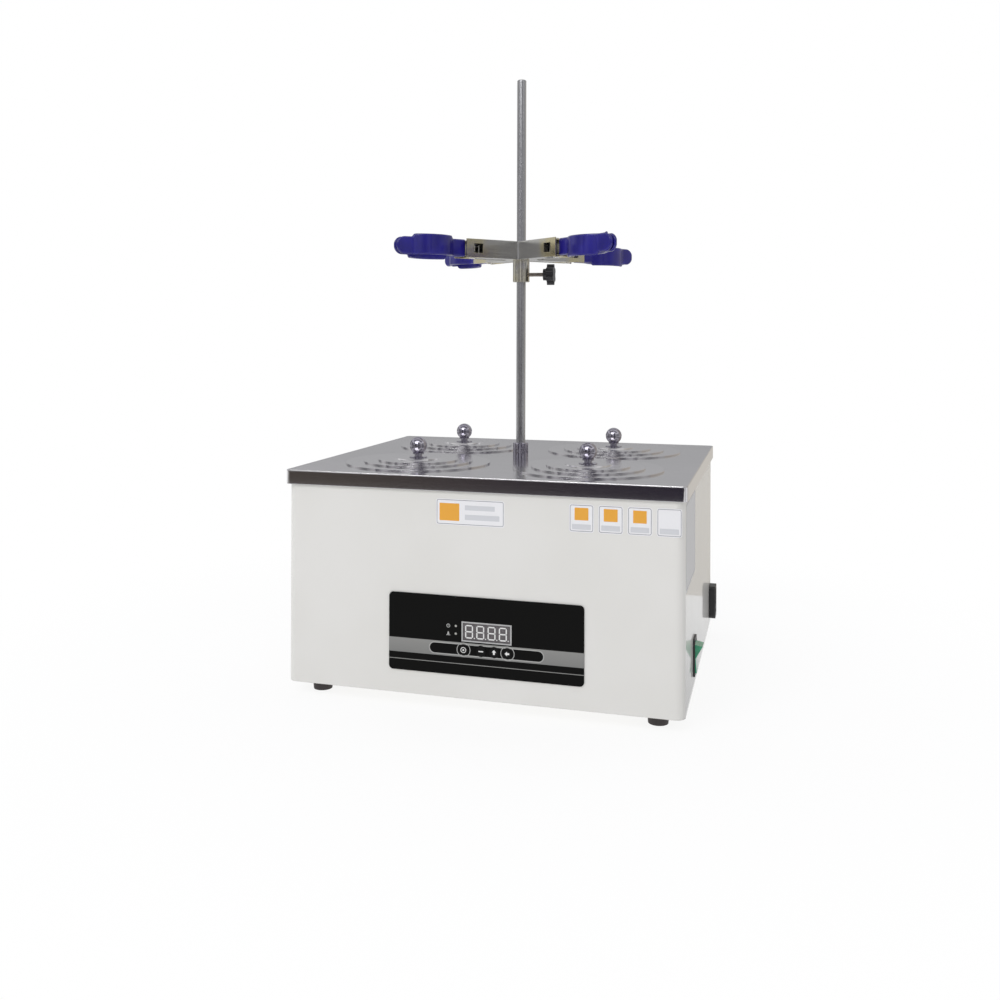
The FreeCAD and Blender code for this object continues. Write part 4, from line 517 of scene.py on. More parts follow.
SCREW_GRIP_START, SEAM, THREAD_PITCH, SLEEVE_SHARE = 27.1 * MM, 0.1 * MM, 0.8 * MM, 0.4
paint = Paint("clamp_screw_plastic", (0.012, 0.012, 0.016), 0.34)
grain = paint.noise(900.0, 2.0)
paint.set("Roughness", 0.28 + 0.16 * grain)
paint.relief(grain, 0.06 * MM, 0.5, edge=0.8 * MM)
reach = paint.reach(AXIS.x, AXIS.y)
thread = (reach * (2 * math.pi / THREAD_PITCH)).wave()
bumps = paint.node("ShaderNodeBump", Height=thread, Distance=0.3 * MM, Strength=0.9)
metal = paint.surface((0.45, 0.40, 0.38), 0.3, 1.0, Normal=bumps.outputs[0])
grip = reach.ramp(SCREW_GRIP_START - SEAM, SCREW_GRIP_START + SEAM)
paint.show(paint.both(grip, metal, paint.shader))
own_finishes["thumbscrew"] = paint.keep()

low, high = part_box("drain_lever")
sleeve_start = low.x + SLEEVE_SHARE * (high.x - low.x)
paint = Paint("lever_sleeve", (0.42, 0.02, 0.015), 0.35, **{"Coat Weight": 0.3})
skin = paint.noise(800.0, 2.0)
paint.set("Roughness", 0.30 + 0.15 * skin)
paint.relief(skin, 0.05 * MM, 0.5, edge=1.2 * MM)
metal = paint.surface((0.62, 0.60, 0.55), 0.2 + 0.2 * paint.noise(200.0), 1.0)
sleeve = paint.x.ramp(sleeve_start - SEAM, sleeve_start + SEAM)
paint.show(paint.both(sleeve, metal, paint.shader))
own_finishes["drain_lever"] = paint.keep()

# %% [markdown]
# Brass is turned, so its lines run round the valve. The wool is a mat of fibres, pressed flat, and deep
# noise gives it a rough face that single hairs would only make slow. The circuit board gets a brick
# pattern in two greens, which reads as lanes and pads from a step away.

# %% Brass, wool and board

paint = Paint("brass", (0.62, 0.44, 0.17), 0.3, 1.0)
turned = paint.noise(1.0, 4.0, paint.stretched(60.0, 2200.0, 60.0))
paint.set("Roughness", 0.22 + 0.2 * turned)
paint.tones(turned, (0.55, 0.38, 0.14), (0.70, 0.52, 0.22))
paint.relief(turned, 0.05 * MM, 0.5, edge=0.4 * MM)
paint.keep()

paint = Paint("mineral_wool", (0.55, 0.48, 0.24), 0.95)
fibre = paint.noise(1.0, 8.0, paint.stretched(260.0, 260.0, 900.0))
paint.tones(fibre, (0.42, 0.36, 0.16), (0.66, 0.60, 0.34))
paint.relief(fibre, 1.2 * MM, 0.8)
paint.keep()

paint = Paint("board_laminate", (0.01, 0.10, 0.04), 0.3, **{"Coat Weight": 0.5})
lanes = paint.node("ShaderNodeTexBrick", Vector=paint.place, Scale=170.0, Color1=(0.012, 0.13, 0.05, 1),
                   Color2=(0.02, 0.20, 0.08, 1), Mortar=(0.008, 0.08, 0.03, 1))
paint.set("Base Color", lanes.outputs["Color"])
paint.set("Roughness", 0.25 + 0.1 * paint.noise(300.0))
paint.keep()

# %% [markdown]
# Each solid piece names the finish it has, so one table hands the new finishes out. A few pieces are
# the exception: the lids, whose tool lines run round their own place, and the two-part screw and lever.

# %% Give every solid piece its finish

for entry in frame["record"]["subparts"]:
    piece = nodes[entry["node"]]
    piece.data.materials.clear()
    piece.data.materials.append(own_finishes.get(entry["node"], finishes[entry["material_slot"]]))
print("finishes handed out to", len(nodes), "pieces,", len(own_finishes), "of them their own")

# %% [markdown]
# What this lesson draws itself is made of rings of points: a grip is many rounded sections in a row, a
# print is one outline and its copy a hair further out. So one helper joins rings into a closed body, and
# two more make an outline with round corners and turn the mesh into a piece of the scene.

# %% Rings into a mesh, and a mesh into a piece


def rounded_outline(left, low, right, high, radius, steps=6):
    corners = [(right - radius, low + radius, -90), (right - radius, high - radius, 0),
               (left + radius, high - radius, 90), (left + radius, low + radius, 180)]
    points = []
    for x, y, start in corners:
        for step in range(steps + 1):
            angle = math.radians(start + 90 * step / steps)
            points.append((x + radius * math.cos(angle), y + radius * math.sin(angle)))
    return points


def join_rings(mesh, rings):
    """Adds a closed body to a mesh: rings of points, all of one length, joined one to the next."""
    rows = [[mesh.verts.new(point) for point in ring] for ring in rings]
    for first, second in zip(rows, rows[1:]):
        for index in range(len(first)):
            following = (index + 1) % len(first)
            mesh.faces.new((first[index], first[following], second[following], second[index]))
    mesh.faces.new(rows[0])
    mesh.faces.new(rows[-1])


def add_object(name, data):
    item = bpy.data.objects.new(name, data)
    bpy.context.scene.collection.objects.link(item)
    return item


def mesh_piece(name, mesh, material):
    """Turns a finished mesh into a piece of the scene."""
    data = bpy.data.meshes.new(name)
    mesh.to_mesh(data)
    mesh.free()
    data.materials.append(material)
    piece = add_object(name, data)
    return piece


def swept_piece(name, rings, slot):
    """Makes a smooth piece from one row of rings, with the finish that its slot names."""
    mesh = bmesh.new()
    join_rings(mesh, rings)
    bmesh.ops.recalc_face_normals(mesh, faces=mesh.faces)
    for face in mesh.faces:
        face.smooth = True
    return mesh_piece(name, mesh, finishes[slot])


print("a rounded outline has", len(rounded_outline(0, 0, 2, 2, 1)), "points")

# %% [markdown]
# An arm of the clamp has its own directions: along the arm, across it and up, counted from its pin. The
# lower jaw of a pair is the upper one turned over, so the same shapes serve both, with across and up
# reversed. The joints in the record say where the pins are and which way each jaw opens.

# %% The eight jaws' places

spring_low, spring_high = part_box("jaw_springs")


class Jaw:
    """Where one jaw stands: its pin, the arm's directions, and whether it is turned over."""

    def __init__(self, joint):
        self.name = joint["name"].removeprefix("open_")
        self.node = "jaw_" + self.name
        self.body = joint["child"]
        self.pin = Vector((*joint["pos_m"][:2], (spring_low.z + spring_high.z) / 2))
        self.along = Vector((self.pin.x - AXIS.x, self.pin.y - AXIS.y, 0)).normalized()
        self.across = Vector((-self.along.y, self.along.x, 0))
        self.turned = joint["axis"][2]

    def place(self, along, across, up):
        return (self.pin + self.along * along + self.across * (self.turned * across)
                + Vector((0, 0, self.turned * up)))


joints = frame["record"]["behaviour"]["joints"]
jaws = [Jaw(joint) for joint in joints if joint["name"].startswith("open_")]
print("jaws:", ", ".join(jaw.name for jaw in jaws))

# %% [markdown]
# Dipping leaves no sharp edge, so the grip is drawn as a row of sections with fully rounded edges. The
# line through their middles runs straight, bulges out over the pad, and comes back in at the tip.

# %% The line through a grip

SKIN_START, PAD_START, PAD_END, GRIP_END = 14.0 * MM, 32.0 * MM, 83.0 * MM, 102.0 * MM
START_ACROSS, SHOULDER_ACROSS, PAD_ACROSS = 4.8 * MM, 6.4 * MM, 16.5 * MM
WAIST_ACROSS, TIP_ACROSS = 5.0 * MM, 2.9 * MM


def straight(value, first, last):
    """Gives the height of the line through two points at a value."""
    return first[1] + (last[1] - first[1]) * (value - first[0]) / (last[0] - first[0])


def circle_through(first, second, third):
    """Gives the centre and radius of the circle through three points."""
    (ax, ay), (bx, by), (cx, cy) = first, second, third
    double = 2 * (ax * (by - cy) + bx * (cy - ay) + cx * (ay - by))
    a, b, c = ax * ax + ay * ay, bx * bx + by * by, cx * cx + cy * cy
    x = (a * (by - cy) + b * (cy - ay) + c * (ay - by)) / double
    y = (a * (cx - bx) + b * (ax - cx) + c * (bx - ax)) / double
    return x, y, math.hypot(ax - x, ay - y)


pad_x, pad_y, pad_radius = circle_through(
    (PAD_START, SHOULDER_ACROSS), ((PAD_START + PAD_END) / 2, PAD_ACROSS), (PAD_END, WAIST_ACROSS))


def strip_across(along):
    """Gives how far the strip's middle is from the arm's own line."""
    if along < PAD_START:
        return straight(along, (SKIN_START, START_ACROSS), (PAD_START, SHOULDER_ACROSS))
    if along > PAD_END:
        return straight(along, (PAD_END, WAIST_ACROSS), (GRIP_END, TIP_ACROSS))
    return pad_y + math.sqrt(pad_radius ** 2 - (along - pad_x) ** 2)


print("the pad bends on a radius of", round(pad_radius / MM, 1), "mm")

# %% [markdown]
# The line is evened out over a few millimetres, because thick vinyl rounds off every bend of the strip
# below it. A section is narrower where the skin starts and where it ends, so both ends close softly. The
# pad is higher than the rest on its upper edge only.

# %% Grips of dipped vinyl

SKIN_HALF, GRIP_HALF, PAD_RISE, LIP = 2.0 * MM, 10.0 * MM, 3.3 * MM, 0.8 * MM
SHOULDER_OUT, SHOULDER_IN, EVENING_STEP = 1.1 * MM, 2.2 * MM, 0.6 * MM
FINE_STEP, BROAD_STEP, NEAR_SHOULDER, TIP_STEPS = 0.45 * MM, 1.6 * MM, 3 * MM, 14
LIP_STEPS = (-0.05 * MM, 0.15 * MM, 0.4 * MM)
EDGE_SHARE, END_SHARE = 0.96, 0.02


def between(value, start, end):
    """Gives how far a value is between two others, from 0 to 1."""
    return min(max((value - start) / (end - start), 0.0), 1.0)


def eased(value, start, end):
    share = between(value, start, end)
    return share * share * (3 - 2 * share)


def arch(radius, beyond):
    """Gives the half width of a rounded end, which closes over its own radius."""
    return math.sqrt(max(radius ** 2 - max(beyond, 0.0) ** 2, (END_SHARE * radius) ** 2))


def grip_ring(jaw, along):
    """Gives one section of the grip, a rounded oblong."""
    spread = [strip_across(along + step * EVENING_STEP) for step in range(-4, 5)]
    middle = sum(spread) / len(spread)
    low = arch(GRIP_HALF, along - (GRIP_END - GRIP_HALF))
    half = arch(SKIN_HALF, along - (GRIP_END - SKIN_HALF))
    risen = eased(along, PAD_START - SHOULDER_OUT, PAD_START + SHOULDER_IN)
    fallen = eased(along, PAD_END - SHOULDER_IN, PAD_END + SHOULDER_OUT)
    high = low + PAD_RISE * risen * (1 - fallen)
    lip = LIP * (1 - math.sqrt(1 - (1 - between(along, SKIN_START, SKIN_START + LIP)) ** 2))
    low, high, half = low - lip, high - lip, half - lip
    outline = rounded_outline(middle - half, -low, middle + half, high, EDGE_SHARE * min(half, low), 5)
    return [jaw.place(along, across, up) for across, up in outline]


def grip_stations():
    """Gives where the sections lie, close together at both ends and at the pad's shoulders."""
    stations = [SKIN_START + step for step in LIP_STEPS]
    along = SKIN_START + LIP
    while along < GRIP_END - GRIP_HALF:
        stations.append(along)
        shoulder = min(abs(along - PAD_START), abs(along - PAD_END)) < NEAR_SHOULDER
        along += FINE_STEP if shoulder else BROAD_STEP
    for step in range(TIP_STEPS + 1):
        swing = math.sin(math.radians(90 * step / TIP_STEPS))
        stations.append(GRIP_END - GRIP_HALF + GRIP_HALF * swing)
    return stations


for jaw in jaws:
    rings = [grip_ring(jaw, along) for along in grip_stations()]
    grip = swept_piece("vinyl_" + jaw.name, rings, "blue_vinyl")
    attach(grip, jaw.body)
    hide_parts(jaw.node)
print(len(grip_stations()), "sections in each grip")

# %% [markdown]
# The bare steel of a jaw keeps its solid form: a copy of the jaw's mesh is cut off a hair before the
# vinyl starts, so that nothing of the solid grip stays on it, and the cut is closed again.

# %% Bare steel of the jaws

WELD, CUT_BEFORE = 0.001 * MM, 0.02 * MM


def bare_steel(jaw):
    mesh = bmesh.new()
    mesh.from_mesh(nodes[jaw.node].data)
    bmesh.ops.remove_doubles(mesh, verts=mesh.verts, dist=WELD)
    everything = mesh.verts[:] + mesh.edges[:] + mesh.faces[:]
    bmesh.ops.bisect_plane(mesh, geom=everything, plane_co=jaw.place(SKIN_START - CUT_BEFORE, 0, 0),
                           plane_no=jaw.along, clear_outer=True)
    bmesh.ops.holes_fill(mesh, edges=[edge for edge in mesh.edges if edge.is_boundary])
    piece = mesh_piece("jaw_steel_" + jaw.name, mesh, finishes["jaw_steel"])
    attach(piece, jaw.body)
    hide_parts(jaw.node)
    return piece


print(sum(len(bare_steel(jaw).data.polygons) for jaw in jaws), "faces of bare steel")

# %% [markdown]
# A torsion spring sits on each pin. Its two tails press on the jaws' heels, so a tail moves with its jaw
# while the turns stay. A whole spring could follow only one of the two jaws. So each is drawn as two
# halves that meet at the middle of the wire.

# %% Torsion springs

COIL_RADIUS, WIRE_RADIUS, COIL_PITCH, TAIL = 2.9 * MM, 0.5 * MM, 1.8 * MM, 8.0 * MM
COIL_DEGREES, DEGREE_STEP, TAIL_STEPS, WIRE_SIDES = 450, 10, 6, 10
BEND_START, BEND_END = 2.4 * MM, -0.5 * MM


def spring_points():
    """Gives half a spring's line about its pin: a turn and a quarter, then the straight tail."""
    points = []
    for degrees in range(0, COIL_DEGREES + 1, DEGREE_STEP):
        angle = math.radians(degrees)
        points.append(Vector((COIL_RADIUS * math.cos(angle), COIL_RADIUS * math.sin(angle),
                              COIL_PITCH * degrees / 360)))
    climb = COIL_PITCH / (2 * math.pi * COIL_RADIUS)
    way = Vector((-1, 0, climb)).normalized()
    return points + [points[-1] + way * (TAIL * step / TAIL_STEPS) for step in range(1, TAIL_STEPS + 1)]


def wire_rings(points):
    """Gives a ring round each point of a line, square to the line."""
    turns = [2 * math.pi * side / WIRE_SIDES for side in range(WIRE_SIDES)]
    rings = []
    for index, point in enumerate(points):
        way = (points[min(index + 1, len(points) - 1)] - points[max(index - 1, 0)]).normalized()
        flat = way.cross(Vector((0, 0, 1))).normalized()
        steep = flat.cross(way)
        rings.append([point + (flat * math.cos(turn) + steep * math.sin(turn)) * WIRE_RADIUS
                      for turn in turns])
    return rings


for jaw in jaws:
    rings = [[jaw.place(*point) for point in ring] for ring in wire_rings(spring_points())]
    half = swept_piece("spring_" + jaw.name, rings, "spring_steel")
    jaw.place(BEND_START, 0, 0)
    jaw.place(BEND_END, 0, 0)
    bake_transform(half)
    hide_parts("jaw_springs")
print("springs in", len(jaws), "halves")

# %% [markdown]
# Prints, labels and small marks are flat shapes a few hundredths of a millimetre thick. A texture could
# show them too, but thin pieces stay sharp from close by. One helper turns any set of outlines into such
# a piece on the front, the right side, the rear or the bottom of the object.

# %% A helper for flat pieces

PRINT = 0.05 * MM
FACINGS = {
    "front": lambda across, up, out: (across, -out, up),
    "rear": lambda across, up, out: (across, out, up),
    "right": lambda across, up, out: (out, across, up),
    "below": lambda across, up, out: (across, up, -out),
}


def flat_piece(name, outlines, facing, level, material, thickness=PRINT, body="housing"):
    """Makes one piece from outlines, standing out from a face that lies at the level."""
    mesh = bmesh.new()
    for outline in outlines:
        join_rings(mesh, [[FACINGS[facing](across, up, out) for across, up in outline]
                          for out in (level, level + thickness)])
    bmesh.ops.recalc_face_normals(mesh, faces=mesh.faces)
    piece = mesh_piece(name, mesh, material)
    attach(piece, body)


def arc_outline(x, y, radius, inner, steps=40):
    """Gives a ring as a row of four-cornered outlines."""
    outlines = []
    for step in range(steps):
        start, end = (math.radians(360 * edge / steps) for edge in (step, step + 1))
        corners = ((radius, start), (radius, end), (inner, end), (inner, start))
        outlines.append([(x + reach * math.cos(angle), y + reach * math.sin(angle))
                         for reach, angle in corners])
    return outlines


def disc_outline(x, y, radius, steps):
    angles = [2 * math.pi * step / steps for step in range(steps)]
    return [(x + radius * math.cos(angle), y + radius * math.sin(angle)) for angle in angles]


def bar_outline(x, y, wide, tall):
    corners = ((-1, -1), (1, -1), (1, 1), (-1, 1))
    return [(x + wide / 2 * right, y + tall / 2 * up) for right, up in corners]


print("flat pieces can face", ", ".join(FACINGS))

# %% [markdown]
# Inks and films are even in colour. Each still gets a slight change of gloss, since a perfectly even
# surface is what makes a rendered print look pasted on.

# %% Finishes for prints and films


def plain(name, colour, roughness, metallic=0.0):
    paint = Paint(name, colour, roughness, metallic)
    paint.set("Roughness", roughness - 0.04 + 0.08 * paint.noise(400.0))
    return paint.keep()


print_white = plain("print_white", (0.75, 0.75, 0.74), 0.4)
print_grey = plain("print_grey", (0.40, 0.40, 0.39), 0.4)
label_white = plain("label_white", (0.82, 0.82, 0.84), 0.3)
label_edge = plain("label_edge", (0.20, 0.19, 0.23), 0.35)
label_amber = plain("label_amber", (0.80, 0.38, 0.04), 0.35)
label_pale = plain("label_pale", (0.62, 0.63, 0.66), 0.35)
# The dark crosses on the screw heads are painted shade, standing in for the shade in a driver's recess.
recess_dark = plain("recess_dark", (0.02, 0.02, 0.02), 0.7)
contact_metal = plain("contact_metal", (0.62, 0.60, 0.52), 0.25, 1.0)

# %% [markdown]
# Four digits of seven bars each fill the display, unlit and pale as on a display that is off. They could
# be part of the block's finish, as the ink on the panel is, but so many slanted shapes are shorter to
# write as outlines. They lie on the block's face, a little behind the film. A bar is a long hexagon, so
# neighbouring bars meet at a mitre with a hairline between them.

# %% Digits on the display

DIGIT_WIDE, DIGIT_TALL, BAR, PITCH = 6.6 * MM, 12.6 * MM, 1.25 * MM, 12.0 * MM
DIGITS_LEFT, BAR_OUT, BAR_GAP = 0.6 * MM, 0.3 * MM, 0.4 * MM
DOT_OUT, DOT_RADIUS, FACE_BEHIND = 2.4 * MM, 0.6 * MM, 0.6 * MM


def digit_bar(x, y, length, upright):
    half, point = length / 2, BAR / 2
    shape = [(-half, 0), (-half + point, -point), (half - point, -point), (half, 0),
             (half - point, point), (-half + point, point)]
    if upright:
        shape = [(-b, a) for a, b in shape]
    return [(x + a, y + b) for a, b in shape]


digit_outlines = []
for position in range(4):
    x = window_x + (position - 1.5) * PITCH - DIGITS_LEFT
    for up in (-1, 0, 1):
        digit_outlines.append(digit_bar(x, window_z + up * DIGIT_TALL / 2, DIGIT_WIDE, False))
    for side in (-1, 1):
        for up in (-1, 1):
            bar_x, bar_z = x + side * (DIGIT_WIDE / 2 + BAR_OUT), window_z + up * DIGIT_TALL / 4
            digit_outlines.append(digit_bar(bar_x, bar_z, DIGIT_TALL / 2 - BAR_GAP, True))
    digit_outlines.append(disc_outline(x + DIGIT_WIDE / 2 + DOT_OUT, window_z - DIGIT_TALL / 2,
                                       DOT_RADIUS, 12))
flat_piece("digits", digit_outlines, "front", -(panel_low.y + FACE_BEHIND), print_white)
print(len(digit_outlines), "bars and dots")

# %% [markdown]
# The keys carry plain marks: a ring round a dot, a bar, and arrows up and left. Their words are left
# out, so the places below them are bare. Two keys have a printed ring round them on the film. A mark
# rides on its key, and a ring on the housing, so a pressed key takes only its own mark along.

# %% Marks on the keys and rings round them

MARK_RING, MARK_DOT, MARK_BAR = (3.0 * MM, 2.3 * MM), 1.0 * MM, (2.6 * MM, 0.6 * MM, 0.5 * MM)
ARROW, KEY_RING = 2.8 * MM, (7.4 * MM, 6.7 * MM)
ARROW_SHARES = [(0, 1), (0.85, 0.1), (0.35, 0.1), (0.35, -0.75),
                (-0.35, -0.75), (-0.35, 0.1), (-0.85, 0.1)]


def arrow_outline(x, y, direction):
    """Gives a broad arrow head on a short stem, pointing up or left."""
    shape = [(ARROW * a, ARROW * b) for a, b in ARROW_SHARES]
    if direction == "left":
        shape = [(-b, a) for a, b in shape]
    return [(x + a, y + b) for a, b in shape]


def bar_mark(x, y):
    wide, tall, corner = MARK_BAR
    return rounded_outline(x - wide, y - tall, x + wide, y + tall, corner)


key_boxes = {number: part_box("key_" + str(number)) for number in range(1, 5)}
keys = {number: ((low.x + high.x) / 2, (low.z + high.z) / 2) for number, (low, high) in key_boxes.items()}
marks = {
    1: arc_outline(*keys[1], *MARK_RING, steps=24) + [disc_outline(*keys[1], MARK_DOT, 16)],
    2: [bar_mark(*keys[2])],
    3: [arrow_outline(*keys[3], "up")],
    4: [arrow_outline(*keys[4], "left")],
}
for number, outlines in marks.items():
    flat_piece("key_mark_" + str(number), outlines, "front", -key_boxes[number][0].y, print_white,
               body="key_button_" + str(number))
key_rings = arc_outline(*keys[1], *KEY_RING) + arc_outline(*keys[4], *KEY_RING)
flat_piece("key_rings", key_rings, "front", -panel_low.y, print_grey)
print(len(marks), "keys marked")

# %% [markdown]
# Beside the two signal lights are small printed marks for heating and timing. A plain ring with a tick
# and a plain flask-like shape on a bar stand in for them, made from the same few outlines.

# %% Marks beside the signal lights

mark_x = PANEL_ZERO.x - 29.2 * MM
ring_z, flask_z = PANEL_ZERO.z + 74.5 * MM, PANEL_ZERO.z + 66.6 * MM
LIGHT_RING, TICK, BASE = (2.0 * MM, 1.4 * MM), (0.5 * MM, 1.2 * MM), (4.2 * MM, 0.6 * MM)
TICK_UP, BASE_DOWN = 0.5 * MM, 1.7 * MM
FLASK = [(-1.3 * MM, -1.1 * MM), (1.3 * MM, -1.1 * MM), (0.5 * MM, 1.8 * MM), (-0.5 * MM, 1.8 * MM)]
light_marks = arc_outline(mark_x, ring_z, *LIGHT_RING, steps=20) + [
    bar_outline(mark_x, ring_z + TICK_UP, *TICK),
    bar_outline(mark_x, flask_z - BASE_DOWN, *BASE),
    [(mark_x + x, flask_z + z) for x, z in FLASK],
]
flat_piece("light_marks", light_marks, "front", -panel_low.y, print_grey)
print(len(light_marks), "outlines beside the lights")

# %% [markdown]
# The real product carries printed stickers. Here their places hold blank plates of the same size: white
# film with a thin rounded border and plain blocks of colour, with no words or signs. Places are in
# millimetres, to the right of the rod's axis and up from the case's floor.

# %% Blank labels on the front

BORDER = 0.5 * MM
LABEL_INSET, LABEL_CORNERS, BLOCK_CORNER = 0.8 * MM, (2.6 * MM, 2.0 * MM, 1.6 * MM), 0.5 * MM


def plate(name, facing, level, edges, inset, corners, film):
    """Makes a blank plate, and prints a thin border a little way in from its edge."""
    left, low, right, high = edges

    def outline(distance, corner):
        return rounded_outline(left + distance, low + distance, right - distance, high - distance, corner)

    flat_piece(name, [outline(0, corners[0])], facing, level, film, 2 * PRINT)
    rims = list(zip(outline(inset, corners[1]), outline(inset + BORDER, corners[2])))
    border = [[outer, next_outer, next_inner, inner]
              for (outer, inner), (next_outer, next_inner) in zip(rims, rims[1:] + rims[:1])]
    flat_piece(name + "_border", border, facing, level + 2 * PRINT, label_edge)


def label(name, edges, blocks):
    """Makes a blank label on the front, with plain blocks of colour."""
    def on_front(left, low, right, high):
        return (PANEL_ZERO.x + left * MM, PANEL_ZERO.z + low * MM,
                PANEL_ZERO.x + right * MM, PANEL_ZERO.z + high * MM)

    front = -case_low.y
    plate(name, "front", front, on_front(*edges), LABEL_INSET, LABEL_CORNERS, label_white)
    for number, (material, *block) in enumerate(blocks, 1):
        shape = rounded_outline(*on_front(*block), BLOCK_CORNER, 3)
        flat_piece(name + "_block_" + str(number), [shape], "front", front + 2 * PRINT, material)


label("label_large", (-43.3, 178.6, 30.1, 205.5), [
    (label_amber, -39.5, 183.0, -18.0, 201.0),
    (label_pale, -12.0, 194.5, 20.0, 199.5),
    (label_pale, -12.0, 184.5, 25.0, 190.0),
])
SMALL_LABELS = [(97.4, 122.5), (126.9, 151.8), (156.1, 180.5), (184.8, 209.5)]
for number, (left, right) in enumerate(SMALL_LABELS, 1):
    blocks = [(label_pale, left + 3, 181.2, right - 3, 186.5)]
    if number < len(SMALL_LABELS):
        blocks.append((label_amber, left + 5.5, 190.5, right - 5.5, 203.0))
    label("label_small_" + str(number), (left, 178.5, right, 206.5), blocks)
print(1 + len(SMALL_LABELS), "blank labels")

# %% [markdown]
# A plate on the right side is seen almost edge on, so only its size, its pale tone and its border tell.
# A blank plate takes its place, made by the same helper as the labels.

# %% Blank plate on the right side

PLATE_INSET, PLATE_CORNERS = 2 * MM, (2 * MM, 1.6 * MM, 1.4 * MM)
side_edges = (AXIS.y - 180 * MM, PANEL_ZERO.z + 122 * MM, AXIS.y - 73 * MM, PANEL_ZERO.z + 211 * MM)
plate("side_plate", "right", case_high.x, side_edges, PLATE_INSET, PLATE_CORNERS, label_pale)
print("the plate stands on the case's side at", round(case_high.x / MM, 1), "mm")

# %% [markdown]
# Screw heads need a recess for the driver. A cut in each small head would cost many faces, so a dark
# cross laid on each head stands in for it: the cross is painted shade, the shade that a recess would
# hold.

# %% Painted shade: dark crosses on the screw heads

screw_low, screw_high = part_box("case_screws")
CROSS_LONG, CROSS_WIDE, REAR_INSET, FOOT_INSET = 4.6 * MM, 0.9 * MM, 4.5 * MM, 11.75 * MM


def crosses(name, facing, level, around, inset):
    """Lays a dark cross of painted shade on each of four screw heads, which lie inside a box's corners.
    """
    (left, low), (right, high) = around
    arms = ((CROSS_LONG, CROSS_WIDE), (CROSS_WIDE, CROSS_LONG))
    outlines = [bar_outline(x, y, *arm) for x in (left + inset, right - inset)
                for y in (low + inset, high - inset) for arm in arms]
    flat_piece(name, outlines, facing, level, recess_dark, PRINT / 2)


rear_edges = [edge.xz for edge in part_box("rear_panel")]
feet_edges = [edge.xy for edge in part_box("rubber_feet")]
crosses("rear_screw_recesses", "rear", screw_high.y, rear_edges, REAR_INSET)
crosses("foot_screw_recesses", "below", -screw_low.z, feet_edges, FOOT_INSET)
print("crosses on the rear panel's screws and in the feet")

# %% [markdown]
# The inlet's three blades are metal, while the housing round them is plastic. They are moulded in one
# with it in the solid, so a thin metal jacket over each blade gives them their look.

# %% Contact blades

inlet_low, inlet_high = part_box("mains_inlet")
inlet_y = (inlet_low.y + inlet_high.y) / 2
BLADES_UP, BLADE_WIDE, BLADE_TALL = 5.0 * MM, 4.1 * MM, 2.1 * MM
BLADE_LONG, BLADE_DEPTH, JACKET_GAP = 12.05 * MM, 17.0 * MM, 0.02 * MM
BLADE_PLACES = [(2.0 * MM, 0.0), (-2.0 * MM, 7.0 * MM), (-2.0 * MM, -7.0 * MM)]
inlet_z = (inlet_low.z + inlet_high.z) / 2 + BLADES_UP
blades = [bar_outline(inlet_y + y, inlet_z + z, BLADE_WIDE, BLADE_TALL) for y, z in BLADE_PLACES]
flat_piece("contact_blades", blades, "right", inlet_high.x - BLADE_DEPTH + JACKET_GAP, contact_metal,
           BLADE_LONG)
print(len(blades), "contact blades")

# %% [markdown]
# The object stands on a pale floor that runs into white. No lamp lights a wide floor evenly, so most of
# its white is its own glow. Near the object a small part is plain matt, which takes a faint shadow, and
# further out that part fades away.

# %% Floor

FLOOR_WIDE = 24.0


def stage_card(name, corners, material):
    """Makes a four-cornered sheet that belongs to the studio, not to the object."""
    data = bpy.data.meshes.new(name)
    data.from_pydata(corners, [], [(0, 1, 2, 3)])
    data.materials.append(material)
    piece = add_object(name, data)
    return piece


paint = Paint("floor_white", (0.93, 0.93, 0.93), 0.9)
glow = paint.node("ShaderNodeEmission", Color=(1, 1, 1, 1), Strength=1.0)
far = 0.88 + 0.12 * paint.reach(AXIS.x, AXIS.y).ramp(0.20, 0.80)
paint.show(paint.both(far, paint.shader, glow))
stage_card("floor", [(x, y, 0) for x, y in bar_outline(0, 0, FLOOR_WIDE, FLOOR_WIDE)], paint.material)
print("floor", FLOOR_WIDE, "m wide")

# %% [markdown]
# The world lights the object softly, more from above and from the left. The camera and the mirrors see
# plain white instead, so the picture's background is white however dim the room is.

# %% Background

world = bpy.data.worlds.new("studio")
bpy.context.scene.world = world
room = Network(world)
way = room.node("ShaderNodeSeparateXYZ", **{"0": room.node("ShaderNodeTexCoord").outputs["Generated"]})
height = room.node("ShaderNodeMapRange", Value=way.outputs["Z"], **{"From Min": 0.0, "From Max": 0.75})
power = room.node("ShaderNodeMapRange", Value=way.outputs["X"], **{
    "From Min": 0.1, "From Max": 0.9, "To Min": 0.87, "To Max": 0.34,
})
colour = room.mix(height.outputs[0], (0.48, 0.48, 0.49), (0.88, 0.89, 0.93))
dim = room.node("ShaderNodeBackground", Color=colour, Strength=power.outputs[0])
white = room.node("ShaderNodeBackground", Color=(1, 1, 1, 1), Strength=1.0)
path = room.node("ShaderNodeLightPath")
seen = Value(room, path.outputs["Is Camera Ray"])
for kind in ("Is Glossy Ray", "Is Transmission Ray"):
    seen = seen.higher(path.outputs[kind])
room.node("ShaderNodeOutputWorld", Surface=room.both(seen, dim, white))
print("the world has", len(room.tree.nodes), "nodes")

# %% [markdown]
# Polished metal shows little but its surroundings, so the room's walls and ceiling have to be there for
# it: large cards with soft bands of grey, which only mirrors see. The low dark one in front makes the
# cover's skirt as dark as it is in the photograph.

# %% Cards for the room


def upright(start, end, low, high):
    """Gives the corners of a standing card from its ground line and its two heights."""
    return [(*start, low), (*end, low), (*end, high), (*start, high)]


def lying(left, right, front, back):
    """Gives the corners of a lying card from its sides and its front and back edges' Y and Z."""
    return [(left, *front), (right, *front), (right, *back), (left, *back)]


